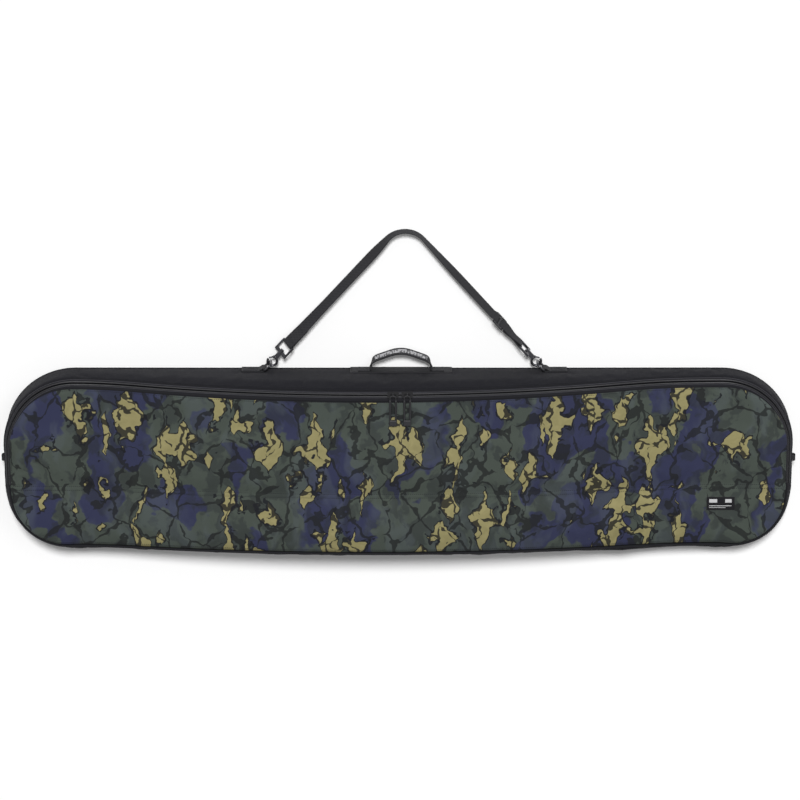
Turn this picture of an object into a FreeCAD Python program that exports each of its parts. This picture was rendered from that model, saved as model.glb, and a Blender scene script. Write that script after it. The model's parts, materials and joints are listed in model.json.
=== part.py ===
"""A padded snowboard bag lying on its back, as a parametric FreeCAD document.

Frame: X runs along the bag, +Y to the zipper side, +Z out of the front face.
The origin is the centre of the back panel, on the surface that the bag lies on.
The padded shells are layers of one envelope: a rounded outline under a cambered
front, with its front edge rounded. A layer at depth d is the envelope inset by d.
"""
import FreeCAD, Part

import math
import os
import re

import Sketcher

Vector = FreeCAD.Vector

SIZES = {
    # the bag's shell
    "bag_length": 1572, "bag_width": 358, "corner_radius": 142,
    "mid_depth": 127, "left_depth": 83, "right_depth": 72,
    "crown_place": -50, "crown_end": 126.4, "crown_ease": 0.27,
    "shoulder_radius": 30, "back_edge_radius": 8, "back_edge_taper": 0.8,
    "back_seam": 8.2,
    "cover_thickness": 1.2, "layer_gap": 0.3, "foam_thickness": 5, "lining_thickness": 0.8,
    "seam_gap": 0.3, "sewn_gap": 0.1,
    # seams and zipper, each an inset from the outline, plus how far its top edge dips mid-bag
    "fold_place": -50, "fold_gap": 1, "zip_end": -46,
    "crown_panel": 480,
    "zip_inset": 8, "zip_dip": 8, "panel_inset": 18, "panel_dip": 11, "panel_foot": 12,
    "panel_end": 13,
    "dip_margin": 6.5, "dip_ease": 0.25,
    "chain_slit": 1.6, "chain_half": 3.2, "chain_proud": 0.6, "chain_sunk": 1.8,
    "tape_mid_height": 117, "tape_left_height": 64, "foam_setback": 6,
    "piping_width": 4, "piping_proud": 1.5,
    "stop_length": 15, "stop_reach": 34, "stop_proud": 1.3,
    # zipper sliders and pulls
    "slider_left": -11, "slider_right": 17, "slider_length": 22, "slider_width": 13,
    "slider_plate": 1.4, "slider_play": 1, "slider_post": 0.8, "slider_post_length": 8,
    "slider_arc": 300, "bail_length": 10, "bail_height": 6.5, "bail_wire": 1.6,
    "bail_bend": 2, "bail_foot": 0.2,
    "pull_length": 66, "pull_width": 14, "pull_wire": 2.6, "pull_rest": 2, "pull_eye_wire": 1.6,
    "pull_eye_play": 0.4, "pull_roundness": 0.98,
    # carry handle
    "handle_place": 5, "handle_span": 120, "handle_reach": 42, "handle_thickness": 3,
    "handle_height": 25, "handle_bend": 8, "handle_slope": 20, "crest_bend": 60,
    "handle_root": 1, "fitting_height": 21,
    "handle_low": -15, "handle_high": 60,
    "strip_length": 203, "strip_height": 34, "strip_thickness": 1.8,
    # strap rings and their tabs
    "ring_left": -267, "ring_right": 290, "tab_length": 46, "tab_height": 25,
    "tab_thickness": 1.8, "ring_wire": 4, "ring_width": 31, "ring_reach": 18, "ring_bend": 6,
    "ring_play": 0.3,
    # swivel hooks
    "hook_eye_radius": 9.5, "hook_wire": 5, "hook_slack": 0.9, "neck_length": 10,
    "gate_start": 22, "gate_end": 85, "hook_end": 100,
    "neck_width": 9, "post_length": 7, "post_wire": 4.4, "head_length": 2.4, "head_wire": 8,
    "swivel_play": 0.3, "gate_wire": 3.2, "gate_play": 0.5,
    "loop_width": 33, "loop_depth": 17, "loop_bar": 4, "loop_side": 3,
    # shoulder strap
    "strap_height": 25, "strap_thickness": 1.5, "strap_apex": 472, "apex_place": 14,
    "apex_bend": 48, "strap_lift": 13, "adjuster_place": 63,
    "adjuster_length": 27, "adjuster_width": 33, "adjuster_plate": 2, "adjuster_bar": 3,
    "adjuster_offset": 2.1, "slot_play": 1, "tail_clear": 3, "weave_ease": 8, "apex_rise": 0.4,
    "swing_drop": 2.1, "tail_length": 48, "tail_ease": 14, "ply_gap": 0.2, "pinch_place": 25,
    # how far the strap leans towards the bag along its run, in degrees, and where that changes
    "left_roll": 50, "run_roll": 36, "apex_roll": 4, "slide_roll": 25, "right_roll": 10,
    "roll_hold": 20, "run_start": 120, "run_end": 240, "slide_start": 120,
    # end loops and label
    "loop_reach": 9, "loop_rise": 14, "end_loop_width": 20, "end_loop_place": 2,
    "end_loop_height": 40, "webbing": 1.6,
    "label_length": 56, "label_height": 28, "label_thickness": 0.5,
    "label_inset": 140, "label_rise": 93,
}

doc = FreeCAD.newDocument("SnowboardBag")
sheet = doc.addObject("Spreadsheet::Sheet", "Sizes")
for row, (alias, number) in enumerate(SIZES.items(), start=1):
    sheet.set(f"A{row}", alias)
    sheet.set(f"B{row}", str(number))
    sheet.setAlias(f"B{row}", alias)
doc.recompute()


class Dims:
    """The sheet's values, as plain numbers."""

    def __getattr__(self, alias):
        return float(getattr(sheet, alias))


dims = Dims()
nodes = {}
PLY_STEP = 6  # spacing of the strap's sections where it is doubled
RUN_STEP = 16  # spacing along its single run
WEAVE_STEP = 1.5  # spacing through the adjuster
BAR_TURNS = 9  # steps in the half turn round a loop's bar
BIG = 3000.0  # larger than the bag, for cutting shapes
PAST = 1.0  # how far a cutting shape runs past what it cuts


def keep(name, thing):
    """Makes a document object one of the bag's nodes."""
    thing.Label = name
    nodes[name] = thing
    return thing


def solid_feature(name, shape):
    """A node whose shape is worked out in code: a fabric layer or a formed strap."""
    feature = doc.addObject("Part::Feature", name)
    solids = shape.Solids
    feature.Shape = solids[0] if len(solids) == 1 else Part.makeCompound(solids)
    return keep(name, feature)


def segment(start, end):
    return Part.LineSegment(start, end).toShape()


def bend(start, middle, end):
    return Part.Arc(start, middle, end).toShape()


# ---------------------------------------------------------------- the envelope
class Camber:
    """A level edge that swells to a crown in one arc, with an easing arc at each side."""

    def __init__(self, crown, left, right, place, reach, ease):
        self.crown, self.left, self.right, self.place = crown, left, right, place
        turn = 2 * math.atan((crown - left) / (reach * (1 + ease)))
        self.radius = reach / math.sin(turn)
        turn_right = math.acos(1 - (crown - right) / (self.radius * (1 + ease)))
        reach_right = self.radius * math.sin(turn_right)
        self.ends = (place - reach, place + reach_right)
        self.feet = (self.ends[0] - ease * reach, self.ends[1] + ease * reach_right)
        self.turns = (turn, turn_right)
        self.ease_radii = (ease * self.radius, ease * self.radius)

    def height(self, x):
        """The edge's height at x."""
        if x <= self.feet[0]:
            return self.left
        if x >= self.feet[1]:
            return self.right
        if x < self.ends[0]:
            r = self.ease_radii[0]
            return self.left + r - math.sqrt(r * r - (x - self.feet[0]) ** 2)
        if x > self.ends[1]:
            r = self.ease_radii[1]
            return self.right + r - math.sqrt(r * r - (x - self.feet[1]) ** 2)
        return self.crown - self.radius + math.sqrt(self.radius ** 2 - (x - self.place) ** 2)

    def edges(self, start, end, point):
        """The edge from x = start to x = end, through point(x, height)."""
        stations = [self.feet[0], self.ends[0], self.ends[1], self.feet[1]]
        run = [segment(point(start, self.left), point(stations[0], self.left))]
        for low, high in zip(stations, stations[1:]):
            middle = (low + high) / 2
            places = [point(x, self.height(x)) for x in (low, middle, high)]
            run.append(bend(*places))
        run.append(segment(point(stations[3], self.right), point(end, self.right)))
        return run


half_length = dims.bag_length / 2
half_width = dims.bag_width / 2
corner_start = half_length - dims.corner_radius
# the crown's longer side ends crown_end from the bag's end, and the dip's before the corner
crown_reach = (half_length - abs(dims.crown_place) - dims.crown_end) / (1 + dims.crown_ease)
dip_reach = (corner_start - abs(dims.crown_place) - dims.dip_margin) / (1 + dims.dip_ease)
front_profile = Camber(dims.mid_depth, dims.left_depth, dims.right_depth,
                       dims.crown_place, crown_reach, dims.crown_ease)
tape_right_height = dims.right_depth - (dims.left_depth - dims.tape_left_height)
tape_profile = Camber(dims.tape_mid_height, dims.tape_left_height, tape_right_height,
                      dims.crown_place, crown_reach, dims.crown_ease)


def under(profile, drop):
    """Everything under a cambered profile lowered by drop."""
    def point(x, height):
        return Vector(x, -half_width - BIG / 10, height - drop)
    floor = -BIG / 10
    low_left = Vector(-half_length - BIG / 10, -half_width - BIG / 10, floor)
    low_right = Vector(half_length + BIG / 10, low_left.y, floor)
    top = profile.edges(low_left.x, low_right.x, point)
    sides = [segment(low_left, point(low_left.x, profile.left)),
             segment(point(low_right.x, profile.right), low_right), segment(low_right, low_left)]
    return Part.Face(Part.Wire([sides[0]] + top + sides[1:])).extrude(
        Vector(0, 2 * half_width + BIG / 5, 0))


def outline_prism(inset, low, high, dip=0.0, foot=None, end=None):
    """The rounded outline inset all round, extruded from low to high. Its top edge dips."""
    foot = inset if foot is None else foot
    end = inset if end is None else end
    a, top, base = half_length - end, half_width - inset, half_width - foot
    r = dims.corner_radius - inset
    k = r * (1 - math.sqrt(0.5))

    def at(x, y):
        return Vector(x, y, low)

    def top_edge(x, height):
        return at(-x, top - height)
    edges = [segment(at(-a + r, -base), at(a - r, -base)),
             bend(at(a - r, -base), at(a - k, -base + k), at(a, -base + r)),
             segment(at(a, -base + r), at(a, top - r)),
             bend(at(a, top - r), at(a - k, top - k), at(a - r, top))]
    if dip:
        camber = Camber(dip, 0.0, 0.0, -dims.crown_place, dip_reach, dims.dip_ease)
        edges += camber.edges(-a + r, a - r, top_edge)
    else:
        edges.append(segment(at(a - r, top), at(-a + r, top)))
    edges += [bend(at(-a + r, top), at(-a + k, top - k), at(-a, top - r)),
              segment(at(-a, top - r), at(-a, -base + r)),
              bend(at(-a, -base + r), at(-a + k, -base + k), at(-a + r, -base))]
    return Part.Face(Part.Wire(edges)).extrude(Vector(0, 0, high - low))


def envelope(inset):
    """The bag's outer form, inset all round, with its front and back edges rounded."""
    block = outline_prism(inset, inset, dims.mid_depth + BIG / 10)
    block = block.common(under(front_profile, inset)).Solids[0]
    rim = []
    for edge in block.Edges:
        across = edge.BoundBox.XLength < 0.001 and abs(edge.CenterOfMass.x) < half_length - inset - 1
        if edge.BoundBox.ZMin > inset + 1 and not across:
            rim.append(edge)
    block = block.makeFillet(dims.shoulder_radius - inset, rim).Solids[0]
    base = [edge for edge in block.Edges if edge.BoundBox.ZMax < inset + 0.01]
    return block.makeFillet(dims.back_edge_radius - dims.back_edge_taper * inset, base).Solids[0]


def layer(outer, inner):
    """The envelope's skin between two depths."""
    return envelope(outer).cut(envelope(inner))


def slab(axis, low, high):
    """Everything between two planes across the x, y or z axis."""
    lows = [-BIG / 2, -BIG / 2, -BIG / 2]
    highs = [BIG / 2, BIG / 2, BIG / 2]
    lows["xyz".index(axis)] = low
    highs["xyz".index(axis)] = high
    size = [b - a for a, b in zip(lows, highs)]
    return Part.makeBox(*size, Vector(*lows))


def within(shape, *zones):
    """The part of a shape that lies in every zone."""
    for zone in zones:
        shape = shape.common(zone)
    return shape


def panel(grow=0.0):
    """The front panel's outline, grown or shrunk, as a tall prism."""
    return outline_prism(dims.panel_inset - grow, dims.back_seam, BIG / 10, dims.panel_dip,
                         dims.panel_foot - grow, dims.panel_end - grow)


def zip_line(offset):
    """The zipper's line moved out towards the walls by offset, as a tall prism."""
    return outline_prism(dims.zip_inset - offset, dims.back_seam, BIG / 10, dims.zip_dip)


gap = dims.seam_gap
cover = layer(0, dims.cover_thickness)
foam_depth = dims.cover_thickness + dims.layer_gap
lining_depth = foam_depth + dims.foam_thickness + dims.layer_gap
foam = layer(foam_depth, foam_depth + dims.foam_thickness)
lining = layer(lining_depth, lining_depth + dims.lining_thickness)
wall_zone = slab("z", dims.back_seam + gap / 2, BIG / 2)
back_zone = slab("z", -BIG / 2, dims.back_seam - gap / 2)
above_fold = slab("y", dims.fold_place + dims.fold_gap / 2, BIG / 2)
below_fold = slab("y", -BIG / 2, dims.fold_place - dims.fold_gap / 2)
zip_zone = slab("y", dims.zip_end, BIG / 2)
past_zip = slab("y", -BIG / 2, dims.zip_end)
slit = dims.chain_slit / 2
tape_edge = slit + dims.chain_half + gap
under_tape = under(tape_profile, gap)
piping_edge = dims.piping_width + 2 * gap
half_crown = dims.crown_panel / 2
stretches = {
    "left": slab("x", -BIG / 2, dims.crown_place - half_crown - gap / 2),
    "middle": slab("x", dims.crown_place - half_crown + gap / 2,
                   dims.crown_place + half_crown - gap / 2),
    "right": slab("x", dims.crown_place + half_crown + gap / 2, BIG / 2),
}

# back panel
solid_feature("back_cover", within(cover, back_zone))
solid_feature("back_foam", within(foam, back_zone))

# walls: below the rear zipper tape, and round the lower front edge up to the piping
upper_walls = within(cover, wall_zone, zip_zone, under_tape).cut(zip_line(tape_edge))
lower_walls = within(cover, wall_zone, past_zip).cut(panel(piping_edge))
walls = upper_walls.fuse(lower_walls).removeSplitter()
middle = slab("x", -corner_start + gap / 2, corner_start - gap / 2)
solid_feature("gusset_top", within(walls, middle, slab("y", 0, BIG / 2)))
solid_feature("gusset_bottom", within(walls, middle, slab("y", -BIG / 2, 0)))
solid_feature("gusset_left_end", within(walls, slab("x", -BIG / 2, -corner_start - gap / 2)))
solid_feature("gusset_right_end", within(walls, slab("x", corner_start + gap / 2, BIG / 2)))
upper_foam = within(foam, wall_zone, zip_zone, under(tape_profile, dims.foam_setback))
lower_foam = within(foam, wall_zone, past_zip).cut(panel(gap))
solid_feature("wall_foam", upper_foam.fuse(lower_foam).removeSplitter())

# lower front panel, its piping and the lining of the body
for place, stretch in stretches.items():
    solid_feature(f"lower_front_cover_{place}",
                  within(cover, wall_zone, below_fold, panel(), stretch))
solid_feature("lower_front_foam", within(foam, wall_zone, below_fold, panel()))
bead = layer(-dims.piping_proud, dims.cover_thickness)
bead = within(bead, wall_zone, below_fold, panel(gap + dims.piping_width)).cut(panel(gap))
solid_feature("lower_front_piping", bead)
flap_hole = slab("y", dims.fold_place - dims.fold_gap / 2, BIG / 2).cut(
    under(tape_profile, dims.foam_setback))
solid_feature("body_lining", lining.cut(flap_hole))

# front flap
inner_panel = panel(-dims.foam_setback)
for place, stretch in stretches.items():
    solid_feature(f"flap_cover_{place}", within(cover, above_fold, wall_zone, panel(), stretch))
solid_feature("flap_foam", within(foam, above_fold, wall_zone, inner_panel))
solid_feature("flap_lining", within(lining, above_fold, wall_zone, inner_panel))

# zipper: two tapes and two halves of the chain, with a slit between them
front_tape = within(cover, zip_zone, wall_zone, zip_line(-tape_edge)).cut(panel(gap))
solid_feature("front_zipper_tape", front_tape)
rear_tape = within(cover, zip_zone, wall_zone).cut(zip_line(tape_edge))
solid_feature("rear_zipper_tape", rear_tape.cut(under(tape_profile, 0)))
chain = within(layer(-dims.chain_proud, dims.chain_sunk), zip_zone, wall_zone)
front_chain = within(chain, zip_line(-slit)).cut(zip_line(-slit - dims.chain_half))
solid_feature("front_zipper_chain", front_chain)
rear_chain = within(chain, zip_line(slit + dims.chain_half)).cut(zip_line(slit))
solid_feature("rear_zipper_chain", rear_chain)

# fabric stops over the zipper's two ends
stop_zone = slab("y", dims.zip_end - dims.stop_length - gap, dims.zip_end - gap)
cap = within(layer(-dims.stop_proud, -dims.sewn_gap), stop_zone)
cap = cap.cut(under(front_profile, dims.stop_reach)).cut(panel(piping_edge))
solid_feature("zip_stop_left", within(cap, slab("x", -BIG / 2, 0)))
solid_feature("zip_stop_right", within(cap, slab("x", 0, BIG / 2)))


# ---------------------------------------------------------------- helpers for hardware
def formula(text):
    """An expression over the sheet: every alias in the text gets the sheet's name."""
    return re.sub(r"[a-z_]+", lambda m: f"Sizes.{m[0]}" if m[0] in SIZES else m[0], text)


def bind(thing, **sizes):
    """Binds properties, such as Length or Placement.Base.x (as x), to formulas."""
    for name, text in sizes.items():
        thing.setExpression({"x": "Placement.Base.x", "y": "Placement.Base.y",
                             "z": "Placement.Base.z"}.get(name, name), formula(text))
    return thing


def primitive(kind, name, **sizes):
    return bind(doc.addObject(f"Part::{kind}", name), **sizes)


def fuse(name, *pieces):
    whole = doc.addObject("Part::MultiFuse", name)
    whole.Shapes = list(pieces)
    return whole


def cut(name, base, tool):
    whole = doc.addObject("Part::Cut", name)
    whole.Base, whole.Tool = base, tool
    return whole


def rectangle(sketch, width, height):
    """A rectangle centred on the sketch's origin, its sides bound to two formulas."""
    first = sketch.GeometryCount
    w, h = 20, 10
    corners = [Vector(-w, -h), Vector(w, -h), Vector(w, h), Vector(-w, h)]
    for start, end in zip(corners, corners[1:] + corners[:1]):
        sketch.addGeometry(Part.LineSegment(start, end))
    for i in range(4):
        sketch.addConstraint(Sketcher.Constraint("Coincident", first + i, 2, first + (i + 1) % 4, 1))
        level = "Horizontal" if i % 2 == 0 else "Vertical"
        sketch.addConstraint(Sketcher.Constraint(level, first + i))
    sketch.addConstraint(Sketcher.Constraint("Symmetric", first, 1, first + 1, 2, -1, 1))
    for kind, line, text in (("DistanceX", first, width), ("DistanceY", first + 1, height)):
        index = sketch.addConstraint(Sketcher.Constraint(kind, line, 1, line, 2, 10.0))
        sketch.setExpression(f"Constraints[{index}]", formula(text))


def plate(name, plane, thickness, *rectangles):
    """A body padded both ways from a plane: an outer rectangle and any inner ones."""
    body = doc.addObject("PartDesign::Body", name)
    sketch = body.newObject("Sketcher::SketchObject", name + "_sketch")
    support = next(f for f in body.Origin.OriginFeatures if f.Role == plane)
    sketch.AttachmentSupport = [(support, "")]
    sketch.MapMode = "FlatFace"
    for width, height in rectangles:
        rectangle(sketch, width, height)
    pad = body.newObject("PartDesign::Pad", name + "_pad")
    pad.Profile = sketch
    pad.SideType = "Symmetric"
    pad.setExpression("Length", formula(thickness))
    return body


def rounded(points, radii, closed=False):
    """Straight runs through the points, joined by tangent arcs."""
    count = len(points)
    inner = range(count) if closed else range(1, count - 1)
    cuts = {}
    for i in inner:
        before, here, after = points[i - 1], points[i], points[(i + 1) % count]
        to_before, to_after = (before - here).normalize(), (after - here).normalize()
        half = to_before.getAngle(to_after) / 2
        radius = radii[i] if isinstance(radii, (list, tuple)) else radii
        back = radius / math.tan(half)
        centre_way = (to_before + to_after).normalize()
        middle = here + centre_way * (radius / math.sin(half) - radius)
        cuts[i] = (here + to_before * back, middle, here + to_after * back)
    edges = []
    for i in range(count if closed else count - 1):
        j = (i + 1) % count
        start = cuts[i][2] if i in cuts else points[i]
        end = cuts[j][0] if j in cuts else points[j]
        if start.distanceToPoint(end) > 0.001:
            edges.append(segment(start, end))
        if j in cuts:
            edges.append(bend(*cuts[j]))
    return edges


def formed_wire(points, radii, wire):
    """A closed loop of round wire along the points, which lie in one plane."""
    path = Part.Wire(rounded(points, radii, closed=True))
    first = path.Edges[0]
    start = first.valueAt(first.FirstParameter)
    along = first.tangentAt(first.FirstParameter)
    section = Part.Wire(Part.makeCircle(wire / 2, start, along))
    return path.makePipeShell([section], True, True)


def shifted(points, radii, offset):
    """A polyline in the XY plane moved sideways by offset, with its bend radii."""
    moved, bends = [], []
    for i, here in enumerate(points):
        ways = []
        if i > 0:
            ways.append((here - points[i - 1]).normalize())
        if i < len(points) - 1:
            ways.append((points[i + 1] - here).normalize())
        sides = [Vector(-way.y, way.x, 0) for way in ways]
        miter = (sides[0] + sides[-1]).normalize()
        moved.append(here + miter * (offset / miter.dot(sides[0])))
        turn = ways[0].cross(ways[-1]).z
        bends.append(radii[i] - math.copysign(1, turn) * offset)
    return moved, bends


def band(points, radii, thickness, low, high):
    """A strip standing on edge along a polyline in the XY plane, from low to high."""
    points = [Vector(p.x, p.y, low) for p in points]
    radii = [radii] * len(points) if isinstance(radii, (int, float)) else radii
    left, right = shifted(points, radii, thickness / 2), shifted(points, radii, -thickness / 2)
    there, back = rounded(*left), rounded(*right)
    outline = there + [segment(left[0][-1], right[0][-1])] + back + [
        segment(right[0][0], left[0][0])]
    return Part.Face(Part.Wire(Part.__sortEdges__(outline))).extrude(Vector(0, 0, high - low))


# ---------------------------------------------------------------- label and end loops
label = plate("woven_label", "XY_Plane", "label_thickness", ("label_length", "label_height"))
bind(label, x="bag_length / 2 - label_inset", y="label_rise - bag_width / 2")
label_seat = front_profile.height(half_length - dims.label_inset) + dims.label_thickness / 2 + dims.sewn_gap
label.Placement.Base.z = label_seat
keep("woven_label", label)

loop_half = dims.loop_rise / 2
for side, sign in (("left", -1), ("right", 1)):
    loop = band([Vector(dims.sewn_gap, -loop_half), Vector(dims.loop_reach, -loop_half),
                 Vector(dims.loop_reach, loop_half), Vector(dims.sewn_gap, loop_half)],
                loop_half - dims.webbing, dims.webbing,
                -dims.end_loop_width / 2, dims.end_loop_width / 2)
    if sign < 0:
        loop = loop.mirror(Vector(), Vector(1, 0, 0))
    loop.rotate(Vector(), Vector(1, 0, 0), 90)
    loop.translate(Vector(sign * half_length, dims.end_loop_place, dims.end_loop_height))
    solid_feature(f"end_loop_{side}", loop)

# ---------------------------------------------------------------- carry handle
strip = plate("handle_base_strip", "XZ_Plane", "strip_thickness", ("strip_length", "strip_height"))
bind(strip, x="handle_place", y="bag_width / 2 + strip_thickness / 2 + sewn_gap", z="fitting_height")
keep("handle_base_strip", strip)

strip_face = half_width + dims.strip_thickness + 2 * dims.sewn_gap
handle_axis = strip_face + dims.handle_height / 2 + dims.handle_root
handle_crest = half_width + dims.handle_reach - dims.handle_thickness / 2
handle_half = dims.handle_height / 2
legs = [dims.handle_place + sign * dims.handle_span / 2 for sign in (-1, 1)]
slope = math.radians(dims.handle_slope)
handle_peak = handle_crest + dims.crest_bend * (1 / math.cos(slope) - 1)
handle_corner = handle_peak - dims.handle_span / 2 * math.tan(slope)
grip = band([Vector(legs[0], handle_axis), Vector(legs[0], handle_corner),
             Vector(dims.handle_place, handle_peak),
             Vector(legs[1], handle_corner), Vector(legs[1], handle_axis)],
            [0, dims.handle_bend, dims.crest_bend, dims.handle_bend, 0], dims.handle_thickness,
            dims.fitting_height - handle_half, dims.fitting_height + handle_half)
for side, place in zip(("left", "right"), legs):
    hub = Vector(place - dims.handle_thickness / 2, handle_axis, dims.fitting_height)
    end_round = Part.makeCylinder(handle_half, dims.handle_thickness, hub, Vector(1, 0, 0))
    grip = grip.fuse(end_round.common(slab("y", -BIG / 2, handle_axis + PAST)))
    seat = Part.makeCylinder(handle_half + gap, dims.handle_thickness + 2 * PAST, hub - Vector(PAST, 0, 0),
                             Vector(1, 0, 0))
    anchor = Part.makeBox(dims.handle_thickness, handle_axis - strip_face, dims.handle_height,
                          Vector(hub.x, strip_face, hub.z - handle_half))
    for turn in (dims.handle_low, dims.handle_high):
        leg = Part.makeBox(dims.handle_thickness + 2 * PAST, dims.handle_reach, 2 * (handle_half + gap),
                           hub - Vector(PAST, 0, handle_half + gap))
        leg.rotate(hub, Vector(1, 0, 0), turn)
        anchor = anchor.cut(leg)
    solid_feature(f"handle_anchor_{side}", anchor.cut(seat))
solid_feature("carry_handle", grip.removeSplitter())

# ---------------------------------------------------------------- strap rings and tabs
tab_outer = dims.ring_wire / 2 + dims.ring_play + dims.tab_thickness
ring_line = half_width + dims.sewn_gap + tab_outer
ring_half = dims.ring_width / 2
for side, sign in (("left", -1), ("right", 1)):
    place = f"ring_{side}"
    line = "bag_width / 2 + sewn_gap + ring_wire / 2 + ring_play + tab_thickness"
    base = "fitting_height - tab_height / 2"
    shank = primitive("Box", f"tab_shank_{side}", Length="tab_length", Width="2 * tab_thickness",
                      Height="tab_height", y="bag_width / 2 + sewn_gap", z=base,
                      x=place if sign > 0 else place + " - tab_length")
    eye = primitive("Cylinder", f"tab_eye_{side}", Height="tab_height", x=place, y=line, z=base,
                    Radius="ring_wire / 2 + ring_play + tab_thickness")
    hole = primitive("Cylinder", f"tab_hole_{side}", Height="tab_height", x=place, y=line, z=base,
                     Radius="ring_wire / 2 + ring_play")
    keep(f"strap_tab_{side}", cut(f"strap_tab_{side}", fuse(f"tab_{side}", shank, eye), hole))

    # the ring stands in the plane of Z and the strap's own direction
    out = Vector(-sign, 1, 0).normalize()
    root = Vector(getattr(dims, place), ring_line, dims.fitting_height)
    up = Vector(0, 0, ring_half)
    tip = root + out * dims.ring_reach
    tight = ring_half - dims.tab_height / 2
    loop = formed_wire([root - up, tip - up, tip + up, root + up],
                       [tight, dims.ring_bend, dims.ring_bend, tight], dims.ring_wire)
    solid_feature(f"strap_ring_{side}", loop)

# ---------------------------------------------------------------- swivel hooks
swing_line = ring_line + dims.ring_reach / math.sqrt(2)
# the hooks slide a little on the rings as the strap lifts, so it swings about a lower line
swing_point = Vector(0, swing_line, dims.fitting_height - dims.swing_drop)
strap_tilt = -math.degrees(math.asin((dims.fitting_height - dims.strap_lift) /
                                     (dims.strap_apex - swing_line)))
eye_shift = dims.hook_eye_radius - (dims.hook_wire + dims.ring_wire) / 2 - dims.hook_slack
neck_end = dims.hook_eye_radius + dims.hook_wire / 2 + dims.neck_length
base_near = neck_end + dims.swivel_play
base_thick = dims.post_length - 2 * dims.swivel_play
bar_centre = base_near + base_thick + dims.loop_depth + dims.loop_bar / 2
slit_turn = 360 - (dims.hook_end - dims.gate_start)


def polar(degrees):
    """A point of the hook's eye, at an angle from the neck."""
    turn = math.radians(degrees)
    return Vector(dims.hook_eye_radius * math.cos(turn), dims.hook_eye_radius * math.sin(turn), 0)


def rod(start, end, radius):
    return Part.makeCylinder(radius, start.distanceToPoint(end), start, end - start)


def hook_shapes():
    """A hook, its gate and its swivel loop, lying in the XY plane with the eye at the origin."""
    eye = Part.makeTorus(dims.hook_eye_radius, dims.hook_wire / 2, Vector(), Vector(0, 0, 1),
                         -180, 180, slit_turn)
    eye.rotate(Vector(), Vector(0, 0, 1), dims.hook_end)
    wire, width = dims.hook_wire, dims.neck_width
    neck = Part.makeBox(neck_end - dims.hook_eye_radius, width, wire,
                        Vector(dims.hook_eye_radius, -width / 2, -wire / 2))
    post_end = neck_end + dims.post_length
    post = rod(Vector(neck_end - PAST, 0, 0), Vector(post_end, 0, 0), dims.post_wire / 2)
    head = rod(Vector(post_end, 0, 0), Vector(post_end + dims.head_length, 0, 0),
               dims.head_wire / 2)
    pivot = polar(dims.gate_start)
    knuckle = dims.hook_wire / 2
    rise = Vector(0, 0, knuckle)
    body = eye.fuse([neck, post, head]).cut(rod(pivot - rise * 2, pivot + rise * 2,
                                               knuckle + dims.gate_play))
    pin = rod(pivot - rise, pivot + rise, knuckle)
    gate = pin.fuse(rod(pivot, polar(dims.gate_end), dims.gate_wire / 2))
    half, side = dims.loop_width / 2, dims.loop_side
    depth = base_thick + dims.loop_depth + dims.loop_bar / 2
    frame = Part.makeBox(depth, dims.loop_bar, 2 * half, Vector(base_near, -dims.loop_bar / 2, -half))
    opening = Part.makeBox(depth, dims.loop_bar + 2 * PAST, 2 * (half - side),
                           Vector(base_near + base_thick, -dims.loop_bar / 2 - PAST, side - half))
    end_bar = rod(Vector(bar_centre, 0, -half), Vector(bar_centre, 0, half), dims.loop_bar / 2)
    boss = rod(Vector(base_near, 0, 0), Vector(base_near + base_thick, 0, 0), dims.neck_width / 2)
    bore = rod(Vector(base_near - PAST, 0, 0), Vector(base_near + base_thick + PAST, 0, 0),
               dims.post_wire / 2 + dims.swivel_play)
    loop = frame.cut(opening).fuse([end_bar, boss]).cut(bore)
    return {"hook": body, "hook_gate": gate, "hook_loop": loop.removeSplitter()}


crest = Vector(dims.apex_place, dims.strap_apex + dims.apex_bend * dims.apex_rise, dims.fitting_height)


def hook_place(sign):
    """Where a hook lies: its eye on the ring's tip, its neck along the strap."""
    ring_place = dims.ring_left if sign < 0 else dims.ring_right
    tip = Vector(ring_place - sign * dims.ring_reach / math.sqrt(2), swing_line,
                 dims.fitting_height)
    way = (crest - tip).normalize()
    return tip + way * eye_shift, math.degrees(math.atan2(way.y, way.x)), way


def laid(shape):
    """The strap and its hooks slope from the rings down to the surface under the bag."""
    shape.rotate(swing_point, Vector(1, 0, 0), strap_tilt)
    return shape


bars = {}
for side, sign in (("left", -1), ("right", 1)):
    centre, turn, way = hook_place(sign)
    bars[side] = centre + way * bar_centre
    for kind, shape in hook_shapes().items():
        shape = shape.copy()
        if sign > 0:
            shape = shape.mirror(Vector(), Vector(0, 1, 0))
        if kind == "hook_loop":
            shape.rotate(Vector(), Vector(1, 0, 0), -sign * getattr(dims, f"{side}_roll"))
        shape.rotate(Vector(), Vector(0, 0, 1), turn)
        shape.translate(centre)
        solid_feature(f"{side}_{kind}", laid(shape))

# ---------------------------------------------------------------- shoulder strap
left_bar, right_bar = bars["left"], bars["right"]
up_way, down_way = (crest - left_bar).normalize(), (right_bar - crest).normalize()
arc_turn = up_way.getAngle(down_way)
cut_back = dims.apex_bend * math.tan(arc_turn / 2)
rise_length = left_bar.distanceToPoint(crest) - cut_back
fall_start = rise_length + dims.apex_bend * arc_turn
strap_length = fall_start + right_bar.distanceToPoint(crest) - cut_back
adjuster_at = strap_length - dims.adjuster_place


def beside(way):
    """The direction to the left of a level direction."""
    return Vector(-way.y, way.x, 0)


bend_centre = left_bar + up_way * rise_length - beside(up_way) * dims.apex_bend


def strap_line(place):
    """A point of the strap's middle line, and the line's direction there."""
    if place < rise_length:
        return left_bar + up_way * place, up_way
    if place > fall_start:
        return right_bar - down_way * (strap_length - place), down_way
    turn = math.degrees((rise_length - place) / dims.apex_bend)
    way = FreeCAD.Rotation(Vector(0, 0, 1), turn).multVec(up_way)
    return bend_centre + beside(way) * dims.apex_bend, way


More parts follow.
